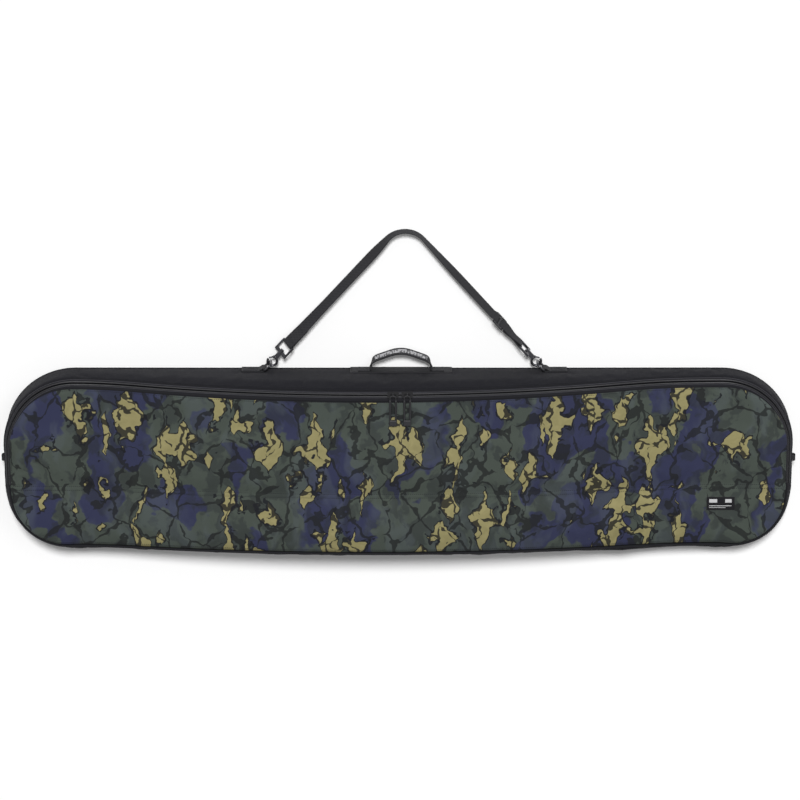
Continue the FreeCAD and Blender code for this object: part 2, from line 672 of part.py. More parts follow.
def eased(keys, place):
    """A value that eases from key to key along the strap."""
    if place <= keys[0][0]:
        return keys[0][1]
    for (start, low), (end, high) in zip(keys, keys[1:]):
        if place <= end:
            share = (place - start) / (end - start)
            return low + (high - low) * share * share * (3 - 2 * share)
    return keys[-1][1]


rolls = [(dims.roll_hold, dims.left_roll), (dims.run_start, dims.run_roll), (dims.run_end, dims.run_roll),
         ((rise_length + fall_start) / 2, dims.apex_roll), (fall_start + dims.slide_start, dims.slide_roll),
         (adjuster_at + dims.roll_hold, dims.slide_roll), (strap_length - dims.roll_hold / 2, dims.right_roll)]


def strap_frame(place, offset):
    """A point off the strap's middle line, and the direction of the webbing's width there."""
    here, way = strap_line(place)
    roll = math.radians(eased(rolls, place))
    side = beside(way)
    normal = side * math.cos(roll) + Vector(0, 0, math.sin(roll))
    return here + normal * offset, Vector(0, 0, math.cos(roll)) - side * math.sin(roll)


def run(keys, step):
    """Places and offsets from the first key to the last, which may lie behind it."""
    start, end = keys[0][0], keys[-1][0]
    count = math.ceil(abs(end - start) / step)
    ordered = sorted(keys)
    places = [start + (end - start) * k / count for k in range(count + 1)]
    return [(place, eased(ordered, place)) for place in places]


wrap = dims.loop_bar / 2 + gap + dims.strap_thickness / 2
ply = dims.strap_thickness + dims.ply_gap


def round_bar(place, sign):
    """Half a turn of webbing round a loop's bar, between its two plies."""
    turns = [math.pi * k / BAR_TURNS for k in range(1, BAR_TURNS)]
    return [(place + sign * wrap * math.sin(turn), sign * wrap * math.cos(turn)) for turn in turns]


offset = dims.adjuster_offset
turn_in = dims.adjuster_bar / 2
turn_out = (dims.adjuster_length - 2 * dims.adjuster_bar) / 2
hold = dims.adjuster_length / 2 + gap
start = adjuster_at - hold - dims.weave_ease
pinch = strap_length - dims.pinch_place
route = run([(dims.tail_length, -ply), (dims.tail_ease, -ply), (0, -wrap)], PLY_STEP)
route += round_bar(0, -1)
route += run([(0, wrap), (dims.tail_length, 0)], PLY_STEP)
route += run([(dims.tail_length, 0), (start, 0)], RUN_STEP)[1:]
route += run([(start, 0), (adjuster_at - hold, offset), (adjuster_at - turn_out, offset),
              (adjuster_at - turn_in, -offset), (adjuster_at + turn_in, -offset),
              (adjuster_at + turn_out, offset), (adjuster_at + hold, offset)], WEAVE_STEP)[1:]
route += run([(adjuster_at + hold, offset), (pinch, ply / 2), (strap_length, wrap)], PLY_STEP)[1:]
route += round_bar(strap_length, 1)
route += run([(strap_length, -wrap), (pinch, -ply / 2),
              (adjuster_at + hold + dims.tail_clear, -offset)], PLY_STEP)
spine = [strap_frame(*place) for place in route]
sections = []
for number, (here, across) in enumerate(spine):
    before, after = spine[max(number - 1, 0)][0], spine[min(number + 1, len(spine) - 1)][0]
    face = (after - before).cross(across).normalize() * (dims.strap_thickness / 2)
    across = across * (dims.strap_height / 2)
    corners = [here - across - face, here + across - face, here + across + face, here - across + face]
    sections.append(Part.makePolygon(corners + corners[:1]))
solid_feature("strap_webbing", laid(Part.makeLoft(sections, True, True)))

slot_length = (dims.adjuster_length - 3 * dims.adjuster_bar) / 2
glide = Part.makeBox(dims.adjuster_length, dims.adjuster_plate, dims.adjuster_width,
                     Vector(-dims.adjuster_length / 2, -dims.adjuster_plate / 2,
                            -dims.adjuster_width / 2))
for sign in (-1, 1):
    slot = Part.makeBox(slot_length, dims.adjuster_plate + 2 * PAST, dims.strap_height + 2 * dims.slot_play,
                        Vector(sign * (dims.adjuster_bar + slot_length) / 2 - slot_length / 2,
                               -dims.adjuster_plate / 2 - PAST, -dims.strap_height / 2 - dims.slot_play))
    glide = glide.cut(slot)
glide.rotate(Vector(), Vector(1, 0, 0), dims.slide_roll)
glide.rotate(Vector(), Vector(0, 0, 1), math.degrees(math.atan2(down_way.y, down_way.x)))
glide.translate(strap_line(adjuster_at)[0])
solid_feature("strap_adjuster", laid(glide))

# ---------------------------------------------------------------- zipper sliders and pulls
zip_dip = Camber(dims.zip_dip, 0.0, 0.0, dims.crown_place, dip_reach, dims.dip_ease)


def zip_point(x):
    """The middle of the zipper's chain at x, on the long arc over the bag's crown."""
    y = half_width - dims.zip_inset - zip_dip.height(x)
    across = y - (half_width - dims.shoulder_radius)
    fall = dims.shoulder_radius - math.sqrt(dims.shoulder_radius ** 2 - across ** 2)
    normal = Vector(0, across, dims.shoulder_radius - fall).normalize()
    depth = (dims.chain_sunk - dims.chain_proud) / 2
    return Vector(x, y, front_profile.height(x) - fall) - normal * depth, normal


crown, crown_normal = zip_point(dims.crown_place)
far, far_normal = zip_point(dims.crown_place + dims.slider_arc)
sag = Vector(0, far.y - crown.y, far.z - crown.z)
slider_radius = (dims.slider_arc ** 2 + sag.Length ** 2) / (2 * sag.Length)
slider_centre = crown + sag.normalize() * slider_radius
slider_axis = Vector(1, 0, 0).cross(sag).normalize()
rise = (crown_normal + far_normal).normalize()
lateral = Vector(0, rise.z, -rise.y)


def slider_frame(x):
    """The placement that carries a slider from the crown along the arc to x."""
    turn = math.degrees((x - dims.crown_place) / slider_radius)
    return FreeCAD.Placement(Vector(), FreeCAD.Rotation(slider_axis, turn), slider_centre)


def block(length, low_side, high_side, low, high, place=0.0):
    """A box along the zipper, between two sideways limits and two heights off the chain."""
    box = Part.makeBox(length, high_side - low_side, high - low,
                       Vector(place - length / 2, low_side, low))
    box.rotate(Vector(), Vector(1, 0, 0), -math.degrees(math.atan2(rise.y, rise.z)))
    box.translate(crown)
    return box


half_chain = (dims.chain_proud + dims.chain_sunk) / 2
plate_low = half_chain + dims.slider_play
plate_high = plate_low + dims.slider_plate
half_slider = dims.slider_width / 2
upper = block(dims.slider_length, -half_slider, half_slider, plate_low, plate_high)
lower = block(dims.slider_length, -half_slider, half_slider, -plate_high, -plate_low)
post_face = crown.y + dims.slider_post / 2
lower = lower.common(slab("y", -BIG / 2, post_face))
post = Part.makeBox(dims.slider_post_length, dims.slider_post, 4 * plate_high,
                    Vector(crown.x - dims.slider_post_length / 2, crown.y - dims.slider_post / 2,
                           crown.z - 2 * plate_high))
post_trim = block(4 * dims.slider_length, -BIG, BIG, -plate_high, plate_high)
bail_top = plate_high + dims.bail_height
bail_half = dims.bail_length / 2
arch = [crown + Vector(sign * bail_half, 0, 0) + rise * height
        for sign, height in ((-1, plate_low), (-1, bail_top), (1, bail_top), (1, plate_low))]
bail_path = Part.Wire(rounded(arch, dims.bail_bend))
bail_start = Part.Wire(Part.makeCircle(dims.bail_wire / 2, arch[0], rise))
bail = bail_path.makePipeShell([bail_start], True, True)
bail = bail.common(block(4 * dims.slider_length, -BIG, BIG, plate_low + dims.bail_foot, BIG))
slider = upper.fuse([lower, post.common(post_trim), bail]).removeSplitter()
hinge_point = crown + rise * bail_top

eye_wire = dims.pull_eye_wire
eye_bore = dims.bail_wire / 2 + dims.pull_eye_play
rest_height = dims.mid_depth + dims.pull_rest + dims.pull_wire / 2
droop = math.asin((hinge_point.z - rest_height) / dims.pull_length)
pull_way = Vector(0, -math.cos(droop), -math.sin(droop))
pull_half = (dims.pull_width - dims.pull_wire) / 2
pull_near = eye_bore + eye_wire / 2 + dims.pull_wire / 2
corners = [hinge_point + pull_way * along + Vector(sign * pull_half, 0, 0)
           for along, sign in ((pull_near, -1), (dims.pull_length, -1),
                               (dims.pull_length, 1), (pull_near, 1))]
pull = formed_wire(corners, pull_half * dims.pull_roundness, dims.pull_wire)
eye = Part.makeTorus(eye_bore + eye_wire / 2, eye_wire / 2, hinge_point, Vector(1, 0, 0))
pull = pull.fuse(eye).removeSplitter()
for side in ("left", "right"):
    frame = slider_frame(getattr(dims, f"slider_{side}"))
    for kind, shape in (("slider", slider), ("pull", pull)):
        moved = shape.copy()
        moved.transformShape(frame.toMatrix())
        solid_feature(f"zip_{kind}_{side}", moved)

# ---------------------------------------------------------------- checks and files
doc.recompute()
for thing in doc.Objects:
    if "Invalid" in thing.State or "Error" in thing.State:
        raise RuntimeError(f"{thing.Label} failed to recompute: {thing.State}")
for name, node in nodes.items():
    shape = node.Shape
    if shape.isNull() or not shape.isValid() or not shape.Solids:
        raise RuntimeError(f"{name} has no valid solid")
os.makedirs("parts", exist_ok=True)
for name, node in nodes.items():
    node.Shape.exportStep(f"parts/{name}.step")
print(len(nodes), "nodes written")
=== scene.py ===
import json
from collections import namedtuple
from math import acos, asin, atan, ceil, copysign, cos, exp, hypot, pi, radians, sin, sqrt, tan

import bmesh
import bpy
from mathutils import Matrix, Vector
from mathutils.bvhtree import BVHTree
from mathutils.geometry import intersect_line_line


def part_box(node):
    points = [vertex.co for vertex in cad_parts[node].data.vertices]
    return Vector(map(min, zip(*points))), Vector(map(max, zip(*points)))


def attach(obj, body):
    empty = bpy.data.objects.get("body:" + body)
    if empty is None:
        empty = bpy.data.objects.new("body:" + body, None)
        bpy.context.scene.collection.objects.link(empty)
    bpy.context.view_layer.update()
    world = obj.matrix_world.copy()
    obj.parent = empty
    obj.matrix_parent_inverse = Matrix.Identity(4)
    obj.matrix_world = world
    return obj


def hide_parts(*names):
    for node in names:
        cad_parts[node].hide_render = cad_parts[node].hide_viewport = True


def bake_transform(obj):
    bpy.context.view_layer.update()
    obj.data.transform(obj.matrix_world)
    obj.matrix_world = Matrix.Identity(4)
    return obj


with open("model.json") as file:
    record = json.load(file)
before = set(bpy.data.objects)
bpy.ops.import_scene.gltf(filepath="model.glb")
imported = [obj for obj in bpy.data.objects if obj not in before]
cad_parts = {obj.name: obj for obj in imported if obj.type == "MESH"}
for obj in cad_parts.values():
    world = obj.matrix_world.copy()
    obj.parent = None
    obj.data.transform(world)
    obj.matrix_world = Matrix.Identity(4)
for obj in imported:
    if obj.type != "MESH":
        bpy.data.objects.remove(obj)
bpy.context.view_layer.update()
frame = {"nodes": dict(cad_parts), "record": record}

MM = 0.001
X, Y, Z = Vector((1, 0, 0)), Vector((0, 1, 0)), Vector((0, 0, 1))
SIDES = (("left", -1), ("right", 1))

# --- sizes of the shell
HALF_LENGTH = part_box("gusset_right_end")[1].x
HALF_WIDTH = -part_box("gusset_bottom")[0].y
CROWN_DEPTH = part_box("flap_cover_middle")[1].z
CORNER, SHOULDER, BACK_EDGE = 142 * MM, 30 * MM, 8 * MM
STRAIGHT_X, STRAIGHT_Y = HALF_LENGTH - CORNER, HALF_WIDTH - CORNER
CROWN_PLACE, CAMBER_REACH, CAMBER_EASE = -50 * MM, 480 * MM, 0.27
DIP_REACH, DIP_EASE = 470 * MM, 0.25
TAPE_BELOW_CROWN, TAPE_LEFT_HEIGHT = 10 * MM, 64 * MM
PANEL, PANEL_FOOT, PANEL_END, PANEL_DIP = 18 * MM, 12 * MM, 13 * MM, 11 * MM
ZIP_INSET, ZIP_DIP, ZIP_END, SLIT = 8 * MM, 8 * MM, -46 * MM, 0.8 * MM
FOLD, FOLD_STITCH, FOLD_REACH = -50 * MM, 4 * MM, 40 * MM
PAD, COVER, HEM = 7.4 * MM, 1.0 * MM, 6 * MM
END_ROLL, LOWER_ROLL, FAR_ROLL, LEFT_ROLL, RIGHT_ROLL = (k * MM for k in (2.7, 6.5, 2.0, 4.0, 7.0))


def cad_height(node, x, y):
    """The top of a CAD node at x, y."""
    tree = BVHTree.FromObject(frame["nodes"][node], bpy.context.evaluated_depsgraph_get())
    return tree.ray_cast(Vector((x, y, 1)), -Z)[0].z


LEFT_DEPTH = cad_height("lower_front_cover_left", -0.7, -0.08)
RIGHT_DEPTH = cad_height("lower_front_cover_right", 0.7, -0.08)


def camber(x, crown, left, right, reach=CAMBER_REACH, ease=CAMBER_EASE):
    """The height at x of an edge that swells from two levels to a crown, in tangent arcs."""
    turn = 2 * atan((crown - left) / (reach * (1 + ease)))
    radius = reach / sin(turn)
    level = left
    if x > CROWN_PLACE:
        level = right
        turn = acos(1 - (crown - right) / (radius * (1 + ease)))
    end = radius * sin(turn)
    off = abs(x - CROWN_PLACE)
    if off >= end * (1 + ease):
        return level
    if off > end:
        eased = ease * radius
        return level + eased - sqrt(eased ** 2 - (off - end * (1 + ease)) ** 2)
    return crown - radius + sqrt(radius ** 2 - off ** 2)


def height(x):
    """The depth of the bag at x."""
    return camber(x, CROWN_DEPTH, LEFT_DEPTH, RIGHT_DEPTH)


def tape_height(x):
    """Where the wall meets the rear zipper tape."""
    drop = LEFT_DEPTH - TAPE_LEFT_HEIGHT
    return camber(x, CROWN_DEPTH - TAPE_BELOW_CROWN, LEFT_DEPTH - drop, RIGHT_DEPTH - drop)


def dip(x, depth):
    """How far a seam along the zipper side dips in the middle of the bag."""
    return camber(x, depth, 0.0, 0.0, DIP_REACH, DIP_EASE)


# --- the section
Spoke = namedtuple("Spoke", "x y nx ny")  # a point of the outline and its outward way


def section(q, top):
    """Inset and height on the bag's section: 0 to 1 back edge, to 2 wall, to 3 shoulder."""
    turn = q * pi / 2
    if q < 1:
        return (BACK_EDGE * (1 - sin(turn)), BACK_EDGE * (1 - cos(turn)),
                turn - pi / 2)
    if q < 2:
        return 0.0, BACK_EDGE + (q - 1) * (top - SHOULDER - BACK_EDGE), 0.0
    turn = (q - 2) * pi / 2
    return SHOULDER * (1 - cos(turn)), top - SHOULDER * (1 - sin(turn)), turn


def smooth(share):
    """An eased rise from 0 to 1."""
    share = min(max(share, 0.0), 1.0)
    return share * share * (3 - 2 * share)


def roll_out(spoke, inset):
    """How far the padded wall and the front's rim roll out: most along the lower edge."""
    most = END_ROLL * (1 - smooth(spoke.ny * 2))
    far = smooth((spoke.x - 450 * MM) / (150 * MM))
    most += (LOWER_ROLL + FAR_ROLL * far) * smooth(-spoke.ny)
    if spoke.ny < 0:
        most += (RIGHT_ROLL if spoke.nx > 0 else LEFT_ROLL) * (2 * spoke.nx * spoke.ny) ** 2
    # the rim follows the wall all the way at the corners, and about half way on the long side
    corner = smooth(abs(spoke.nx) * 2)
    return most * (1 - smooth((inset - corner * 10 * MM) / (24 * MM + corner * 16 * MM)))


def on_section(spoke, q, lift=0.0):
    """The point at q on a spoke's section, lifted off the surface."""
    inset, z, turn = section(q, height(spoke.x - spoke.nx * SHOULDER / 2))
    out = Vector((spoke.nx * cos(turn), spoke.ny * cos(turn), sin(turn)))
    inset -= roll_out(spoke, inset) * smooth((q - 1) / 0.7)
    return Vector((spoke.x - spoke.nx * inset, spoke.y - spoke.ny * inset, z)) + out * lift


def corner_reach(x, y):
    """How far a point of the front lies past the straight parts, and which way."""
    past_x, past_y = abs(x) - STRAIGHT_X, abs(y) - STRAIGHT_Y
    if past_x > 0 and past_y > 0:
        reach = hypot(past_x, past_y)
        return reach, Vector((past_x, past_y)) / reach
    return (past_x, X.xy) if past_x > past_y else (past_y, Y.xy)


def rolled(place):
    """A point of the front, carried out with the rolled wall."""
    x, y, z = place
    reach, way = corner_reach(x, y)
    spoke = Spoke(x, y, copysign(way.x, x), copysign(way.y, y))
    out = roll_out(spoke, CORNER - reach)
    return Vector((x + spoke.nx * out, y + spoke.ny * out, z))


def at_inset(inset):
    """q where the shoulder lies that far in from the outline."""
    return 2 + acos(1 - min(inset, SHOULDER) / SHOULDER) * 2 / pi


def at_height(z, top):
    """q where the section reaches z."""
    if z < top - SHOULDER:
        return 1 + (z - BACK_EDGE) / (top - SHOULDER - BACK_EDGE)
    return 2 + asin(min(1.0, (z - top + SHOULDER) / SHOULDER)) * 2 / pi


def panel_inset(spoke):
    """The camouflage panel's edge: it dips at the zipper, and hugs the ends and lower edge."""
    side = PANEL if spoke.ny > 0 else PANEL_FOOT
    if spoke.nx == 0:
        return side + (dip(spoke.x, PANEL_DIP) if spoke.ny > 0 else 0.0)
    if spoke.ny == 0:
        return PANEL_END
    # the panel's corner is an arc of its own, about a centre shifted from the outline's
    turn = CORNER - PANEL
    shift_x, shift_y = CORNER - turn - PANEL_END, CORNER - turn - side
    along = shift_x * abs(spoke.nx) + shift_y * abs(spoke.ny)
    offset = shift_x ** 2 + shift_y ** 2
    return CORNER - along - sqrt(max(turn ** 2 - offset + along ** 2, 0.0))


# seams: each gives q at a spoke
def fixed(q):
    return lambda spoke: q


def by_panel(offset=0.0):
    """A seam in from the panel's edge."""
    return lambda spoke: at_inset(panel_inset(spoke) + offset)


def by_zip(offset):
    """A seam in from the zipper's middle."""
    return lambda spoke: at_inset(
        ZIP_INSET + (dip(spoke.x, ZIP_DIP) if spoke.ny == 1 else 0.0) + offset)


def q_tape(spoke):
    return at_height(tape_height(spoke.x), height(spoke.x))


def q_lining_top(spoke):
    return q_tape(spoke) - 0.05


BACK, WALL_FOOT = fixed(0.0), fixed(1.02)

# --- the outline's spokes
def turns(whole, steps, first=0, last=0):
    """Even steps of a turn, from the first step to so many before its end."""
    return [whole * k / steps for k in range(first, steps + 1 - last)]


ARC_STEPS, STRAIGHT_STEPS = 36, 208
ROWS_BELOW, ROWS_FOLD, ROWS_ABOVE, PLAIN_ROWS = 20, 2, 36, 60
LOWEST_FOLD_SHARES = 0.06, 0.12


def row_shares(low, high):
    """Shares of the way from low to high, with rows on both lines of the fold's stitching."""
    span = high - low
    first = max((FOLD - FOLD_STITCH - low) / span, LOWEST_FOLD_SHARES[0])
    last = max((FOLD + FOLD_STITCH - low) / span, LOWEST_FOLD_SHARES[1])
    shares = [first * k / ROWS_BELOW for k in range(ROWS_BELOW)]
    shares += [first + (last - first) * k / ROWS_FOLD for k in range(ROWS_FOLD)]
    return shares + [last + (1 - last) * k / ROWS_ABOVE for k in range(ROWS_ABOVE + 1)]


def plain_rows(low, high):
    return [k / PLAIN_ROWS for k in range(PLAIN_ROWS + 1)]


def arc(x_side, y_side):
    """Spokes of a corner, from the bag's end to its long side."""
    ways = [(x_side * cos(t), y_side * sin(t)) for t in turns(pi / 2, ARC_STEPS)]
    return [Spoke(x_side * STRAIGHT_X + CORNER * nx, y_side * STRAIGHT_Y + CORNER * ny, nx, ny)
            for nx, ny in ways]


def side_line(y_side):
    """Spokes along one long side with its corners, left to right."""
    stations = [STRAIGHT_X * (2 * k / STRAIGHT_STEPS - 1) for k in range(1, STRAIGHT_STEPS)]
    middle = [Spoke(x, y_side * HALF_WIDTH, 0.0, float(y_side)) for x in stations]
    return arc(-1, y_side) + middle + arc(1, y_side)[::-1]


def end_side(x_side):
    """Spokes between the corners of one end, upwards."""
    shares = row_shares(-STRAIGHT_Y - 6 * MM, STRAIGHT_Y)[1:-1]
    return [Spoke(x_side * HALF_LENGTH, STRAIGHT_Y * (2 * s - 1), float(x_side), 0.0)
            for s in shares]


def at_zip_end(side):
    """The spoke where the zipper ends, at the start of a lower corner."""
    ny = (ZIP_END + STRAIGHT_Y) / CORNER
    nx = side * sqrt(1 - ny ** 2)
    return Spoke(side * STRAIGHT_X + CORNER * nx, ZIP_END, nx, ny)


lower_side, upper_side = side_line(-1), side_line(1)
left_side, right_side = end_side(-1), end_side(1)
ring = lower_side + right_side + upper_side[::-1] + left_side[::-1]
end_left, end_right = at_zip_end(-1), at_zip_end(1)
zip_spokes = ([end_left] + [s for s in arc(-1, -1)[::-1] if s.y > ZIP_END]
              + left_side + upper_side + right_side[::-1]
              + [s for s in arc(1, -1) if s.y > ZIP_END] + [end_right])
low_spokes = [end_left] + [s for s in lower_side if s.y < ZIP_END] + [end_right]


# --- mesh helpers
def put(thing, **settings):
    """The thing, with its settings put in place."""
    for key, value in settings.items():
        setattr(thing, key, value)
    return thing


def quads(lines, count, around=False, looped=False):
    """Faces of a grid of points given line by line, closed along or across the lines."""
    faces = []
    for j in range(lines if looped else lines - 1):
        a, b = j * count, (j + 1) % lines * count
        for i in range(count if around else count - 1):
            k = (i + 1) % count
            faces.append((a + i, a + k, b + k, b + i))
    return faces


def skin(rings, count, looped=False):
    """Faces round a run of rings, with caps unless it is looped."""
    faces = quads(rings, count, True, looped)
    if not looped:
        faces += [tuple(range(count))[::-1], tuple(range((rings - 1) * count, rings * count))]
    return faces


def new_piece(name, points, faces, material, body="root", uv=None, shaded=True):
    mesh = bpy.data.meshes.new(name)
    mesh.from_pydata([tuple(p) for p in points], [], faces)
    mesh.materials.append(material)
    mesh.polygons.foreach_set("use_smooth", [shaded] * len(mesh.polygons))
    if uv is not None:
        layer = mesh.uv_layers.new(name="UVMap")
        for loop in mesh.loops:
            layer.data[loop.index].uv = uv[loop.vertex_index]
    mesh.update()
    piece = bpy.data.objects.new(name, mesh)
    bpy.context.scene.collection.objects.link(piece)
    if body:
        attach(piece, body)
    return piece


def closed_piece(*args, **settings):
    """A new piece whose faces are all turned outwards."""
    piece = new_piece(*args, **settings)
    made = bmesh.new()
    made.from_mesh(piece.data)
    bmesh.ops.recalc_face_normals(made, faces=made.faces)
    made.to_mesh(piece.data)
    made.free()
    return piece


def loft(name, lines, material, body="root", closed=False, flip=False):
    """A surface through lines of points, with its UVs in metres along and across."""
    count = len(lines[0])
    along, across, middle = [0.0], [0.0], count // 2
    for a, b in zip(lines[0], lines[0][1:]):
        along.append(along[-1] + (b - a).length)
    for a, b in zip(lines, lines[1:]):
        across.append(across[-1] + (b[middle] - a[middle]).length)
    uv = [(u, v) for v in across for u in along]
    faces = quads(len(lines), count, closed)
    if flip:
        faces = [face[::-1] for face in faces]
    return new_piece(name, [p for line in lines for p in line], faces, material, body, uv)


def strip(name, spokes, low, high, rows, material, body="root", closed=False, lift=0.0):
    """A strip of the shell between two seams."""
    lines = [[on_section(s, low(s) + (high(s) - low(s)) * (row / rows), lift) for s in spokes]
             for row in range(rows + 1)]
    m = len(spokes) // 2
    along, up = lines[0][m + 1] - lines[0][m], lines[-1][m] - lines[0][m]
    out = on_section(spokes[m], low(spokes[m]), 1.0) - on_section(spokes[m], low(spokes[m]))
    return loft(name, lines, material, body, closed, flip=along.cross(up).dot(out) < 0)


def modified(piece, kind, **settings):
    """The piece with one modifier applied."""
    put(piece.modifiers.new(kind.lower(), kind), **settings)
    evaluated = piece.evaluated_get(bpy.context.evaluated_depsgraph_get())
    mesh = bpy.data.meshes.new_from_object(evaluated)
    piece.modifiers.clear()
    piece.data = mesh
    return piece


def subdivide(piece):
    return modified(piece, "SUBSURF", levels=1, render_levels=1)


def sew(piece, *nodes, thick=0.0, bends=False, slot=None):
    """Gives a piece its thickness, hides the CAD nodes it stands for, and, if bends is set, bakes
    its placement into its mesh; the slot is not used.
    """
    if thick:
        modified(piece, "SOLIDIFY", thickness=thick, offset=-1.0)
    if bends:
        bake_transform(piece)
    if nodes:
        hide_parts(*nodes)
    return piece


def aside(way):
    """Two directions square to a way, the second one as upright as it can be."""
    side = way.cross(Z)
    side = side.normalized() if side.length > 0.01 else X
    return side, side.cross(way).normalized()


def circle(centre, side, up, radius, count):
    return [centre + (side * cos(t) + up * sin(t)) * radius
            for t in turns(2 * pi, count, last=1)]


def tube(name, points, radius, material, body="root", closed=False, sides=8):
    """A round cord of thread, piping or wire along the points."""
    rings, count = [], len(points)
    for i, here in enumerate(points):
        before = points[i - 1] if i or closed else here
        after = points[(i + 1) % count] if i < count - 1 or closed else here
        rings += circle(here, *aside((after - before).normalized()), radius, sides)
    return closed_piece(name, rings, skin(count, sides, closed), material, body)


def resample(points, pitch, first):
    """Places at an even pitch along a line, each with its direction and the run it is on."""
    found, travelled, due = [], 0.0, first
    for run, (a, b) in enumerate(zip(points, points[1:])):
        length = (b - a).length
        while due <= travelled + length and length > 0:
            found.append((a.lerp(b, (due - travelled) / length), (b - a).normalized(), run))
            due += pitch
        travelled += length
    return found


SEAM_THREAD = 4 * MM, 2.8 * MM, 0.45 * MM  # pitch, stitch length and radius
BOX_THREAD = 3 * MM, 2.2 * MM, 0.4 * MM
FINE_THREAD = 2.4 * MM, 1.8 * MM, 0.25 * MM
STITCH_RINGS, STITCH_SIDES = ((-0.5, 0.35), (-0.25, 1.0), (0.25, 1.0), (0.5, 0.35)), 6


def stitches(name, lines, body="root", thread=SEAM_THREAD):
    """Rows of thread: each stitch is a small spindle pressed into the cloth."""
    pitch, length, radius = thread
    points, faces = [], []
    for line in lines:
        for here, way, _ in resample(line, pitch, pitch / 2):
            base, (side, up) = len(points), aside(way)
            for share, girth in STITCH_RINGS:
                points += circle(here + way * length * share, side, up, radius * girth,
                                 STITCH_SIDES)
            faces += [tuple(base + v for v in face)
                      for face in skin(len(STITCH_RINGS), STITCH_SIDES)]
    return closed_piece(name, points, faces, THREAD, body)


# --- materials
def srgb(*channels):
    """A colour given in 0 to 255 steps, as the shader's linear values."""
    linear = [c / 255 / 12.92 if c <= 10 else ((c / 255 + 0.055) / 1.055) ** 2.4
              for c in channels]
    return (*linear, 1.0)


class Nodes:
    """Short calls for the nodes of a material or the world."""

    def __init__(self, tree):
        self.tree = tree

    def feed(self, socket, value):
        if isinstance(value, bpy.types.NodeSocket):
            self.tree.links.new(value, socket)
        else:
            socket.default_value = value

    def node(self, kind, settings=(), **inputs):
        made = put(self.tree.nodes.new("ShaderNode" + kind), **dict(settings))
        for key, value in inputs.items():
            self.feed(made.inputs[key.replace("_", " ")], value)
        return made

    def maths(self, operation, a, b=0.0):
        made = self.node("Math", {"operation": operation})
        self.feed(made.inputs[0], a)
        self.feed(made.inputs[1], b)
        return made.outputs[0]

    def seen(self):
        """1 on the rays that show the background: to the camera, by gloss or through glass."""
        rays = self.node("LightPath").outputs
        shown = self.maths("MAXIMUM", rays["Is Camera Ray"], rays["Is Glossy Ray"])
        return self.maths("MAXIMUM", shown, rays["Is Transmission Ray"])


class Look(Nodes):
    """A material, and short calls for the nodes that feed its shader."""

    def __init__(self, name, roughness=0.8, **inputs):
        self.material = bpy.data.materials.new(name)
        self.material.use_nodes = True
        super().__init__(self.material.node_tree)
        self.shader = self.tree.nodes["Principled BSDF"]
        self.shader.inputs["Roughness"].default_value = roughness
        for socket, value in inputs.items():
            self.shader.inputs[socket.replace("_", " ")].default_value = value
        self.uv = self.node("TexCoord").outputs["UV"]
        self.place = self.node("TexCoord").outputs["Object"]

    def noise(self, vector, scale, detail=2.0, output="Fac"):
        return self.node("TexNoise", Vector=vector, Scale=scale, Detail=detail).outputs[output]

    def moved(self, vector, scale=(1, 1, 1), shift=(0, 0, 0)):
        return self.node("Mapping", Vector=vector, Scale=scale, Location=shift).outputs[0]

    def step(self, value, edge, softness=0.004):
        """0 below the edge and 1 above it."""
        return self.node("MapRange", {"interpolation_type": "SMOOTHSTEP"}, Value=value,
                         From_Min=edge - softness, From_Max=edge + softness).outputs[0]

    def mix(self, share, a, b):
        made = self.node("Mix", {"data_type": "RGBA"})
        self.feed(made.inputs[0], share)
        self.feed(made.inputs[6], a)
        self.feed(made.inputs[7], b)
        return made.outputs[2]

    def tinted(self, share, base, colour, most):
        """The base with a colour laid over it by a share of at most `most`."""
        return self.mix(self.maths("MULTIPLY", share, most), base, colour)

    def colour(self, value):
        self.feed(self.shader.inputs["Base Color"], value)

    def bump(self, value, strength, distance, onto=None):
        made = self.node("Bump", Height=value, Strength=strength, Distance=distance)
        if onto is not None:
            self.feed(made.inputs["Normal"], onto)
        return made.outputs[0]

    def relief(self, *bump):
        self.feed(self.shader.inputs["Normal"], self.bump(*bump))

    def weave(self, vector, pitch, slant=0.0):
        """A woven surface: two sets of threads that cross at the pitch, over soft folds."""
        turned = self.node("Mapping", Vector=vector, Rotation=(0, 0, slant)).outputs[0]
        threads = [self.node("TexWave", {"bands_direction": direction}, Vector=turned,
                             Scale=pi / (10 * pitch), Distortion=0.4).outputs["Fac"]
                   for direction in ("X", "Y")]
        woven = self.maths("MAXIMUM", *threads)
        folds = self.bump(self.noise(vector, 26.0, 3.0), 0.25, 1.2 * MM)
        self.relief(woven, 0.35, 0.25 * MM, folds)
        return woven


def plain_fabric(name, dark, light, pitch, roughness=0.85, sheen=0.02, source="UV",
                 slant=0.0, threads=0.3):
    """A woven cloth that varies between two tones, a share of it from thread to thread."""
    look = Look(name, roughness, Sheen_Weight=sheen, Sheen_Roughness=0.5,
                Specular_IOR_Level=0.12)
    vector = look.uv if source == "UV" else look.place
    woven = look.weave(vector, pitch, slant)
    tone = look.maths("MULTIPLY", look.noise(vector, 9.0, 4.0), 1 - threads)
    tone = look.maths("ADD", tone, look.maths("MULTIPLY", woven, threads))
    look.colour(look.mix(tone, srgb(*dark), srgb(*light)))
    return look.material


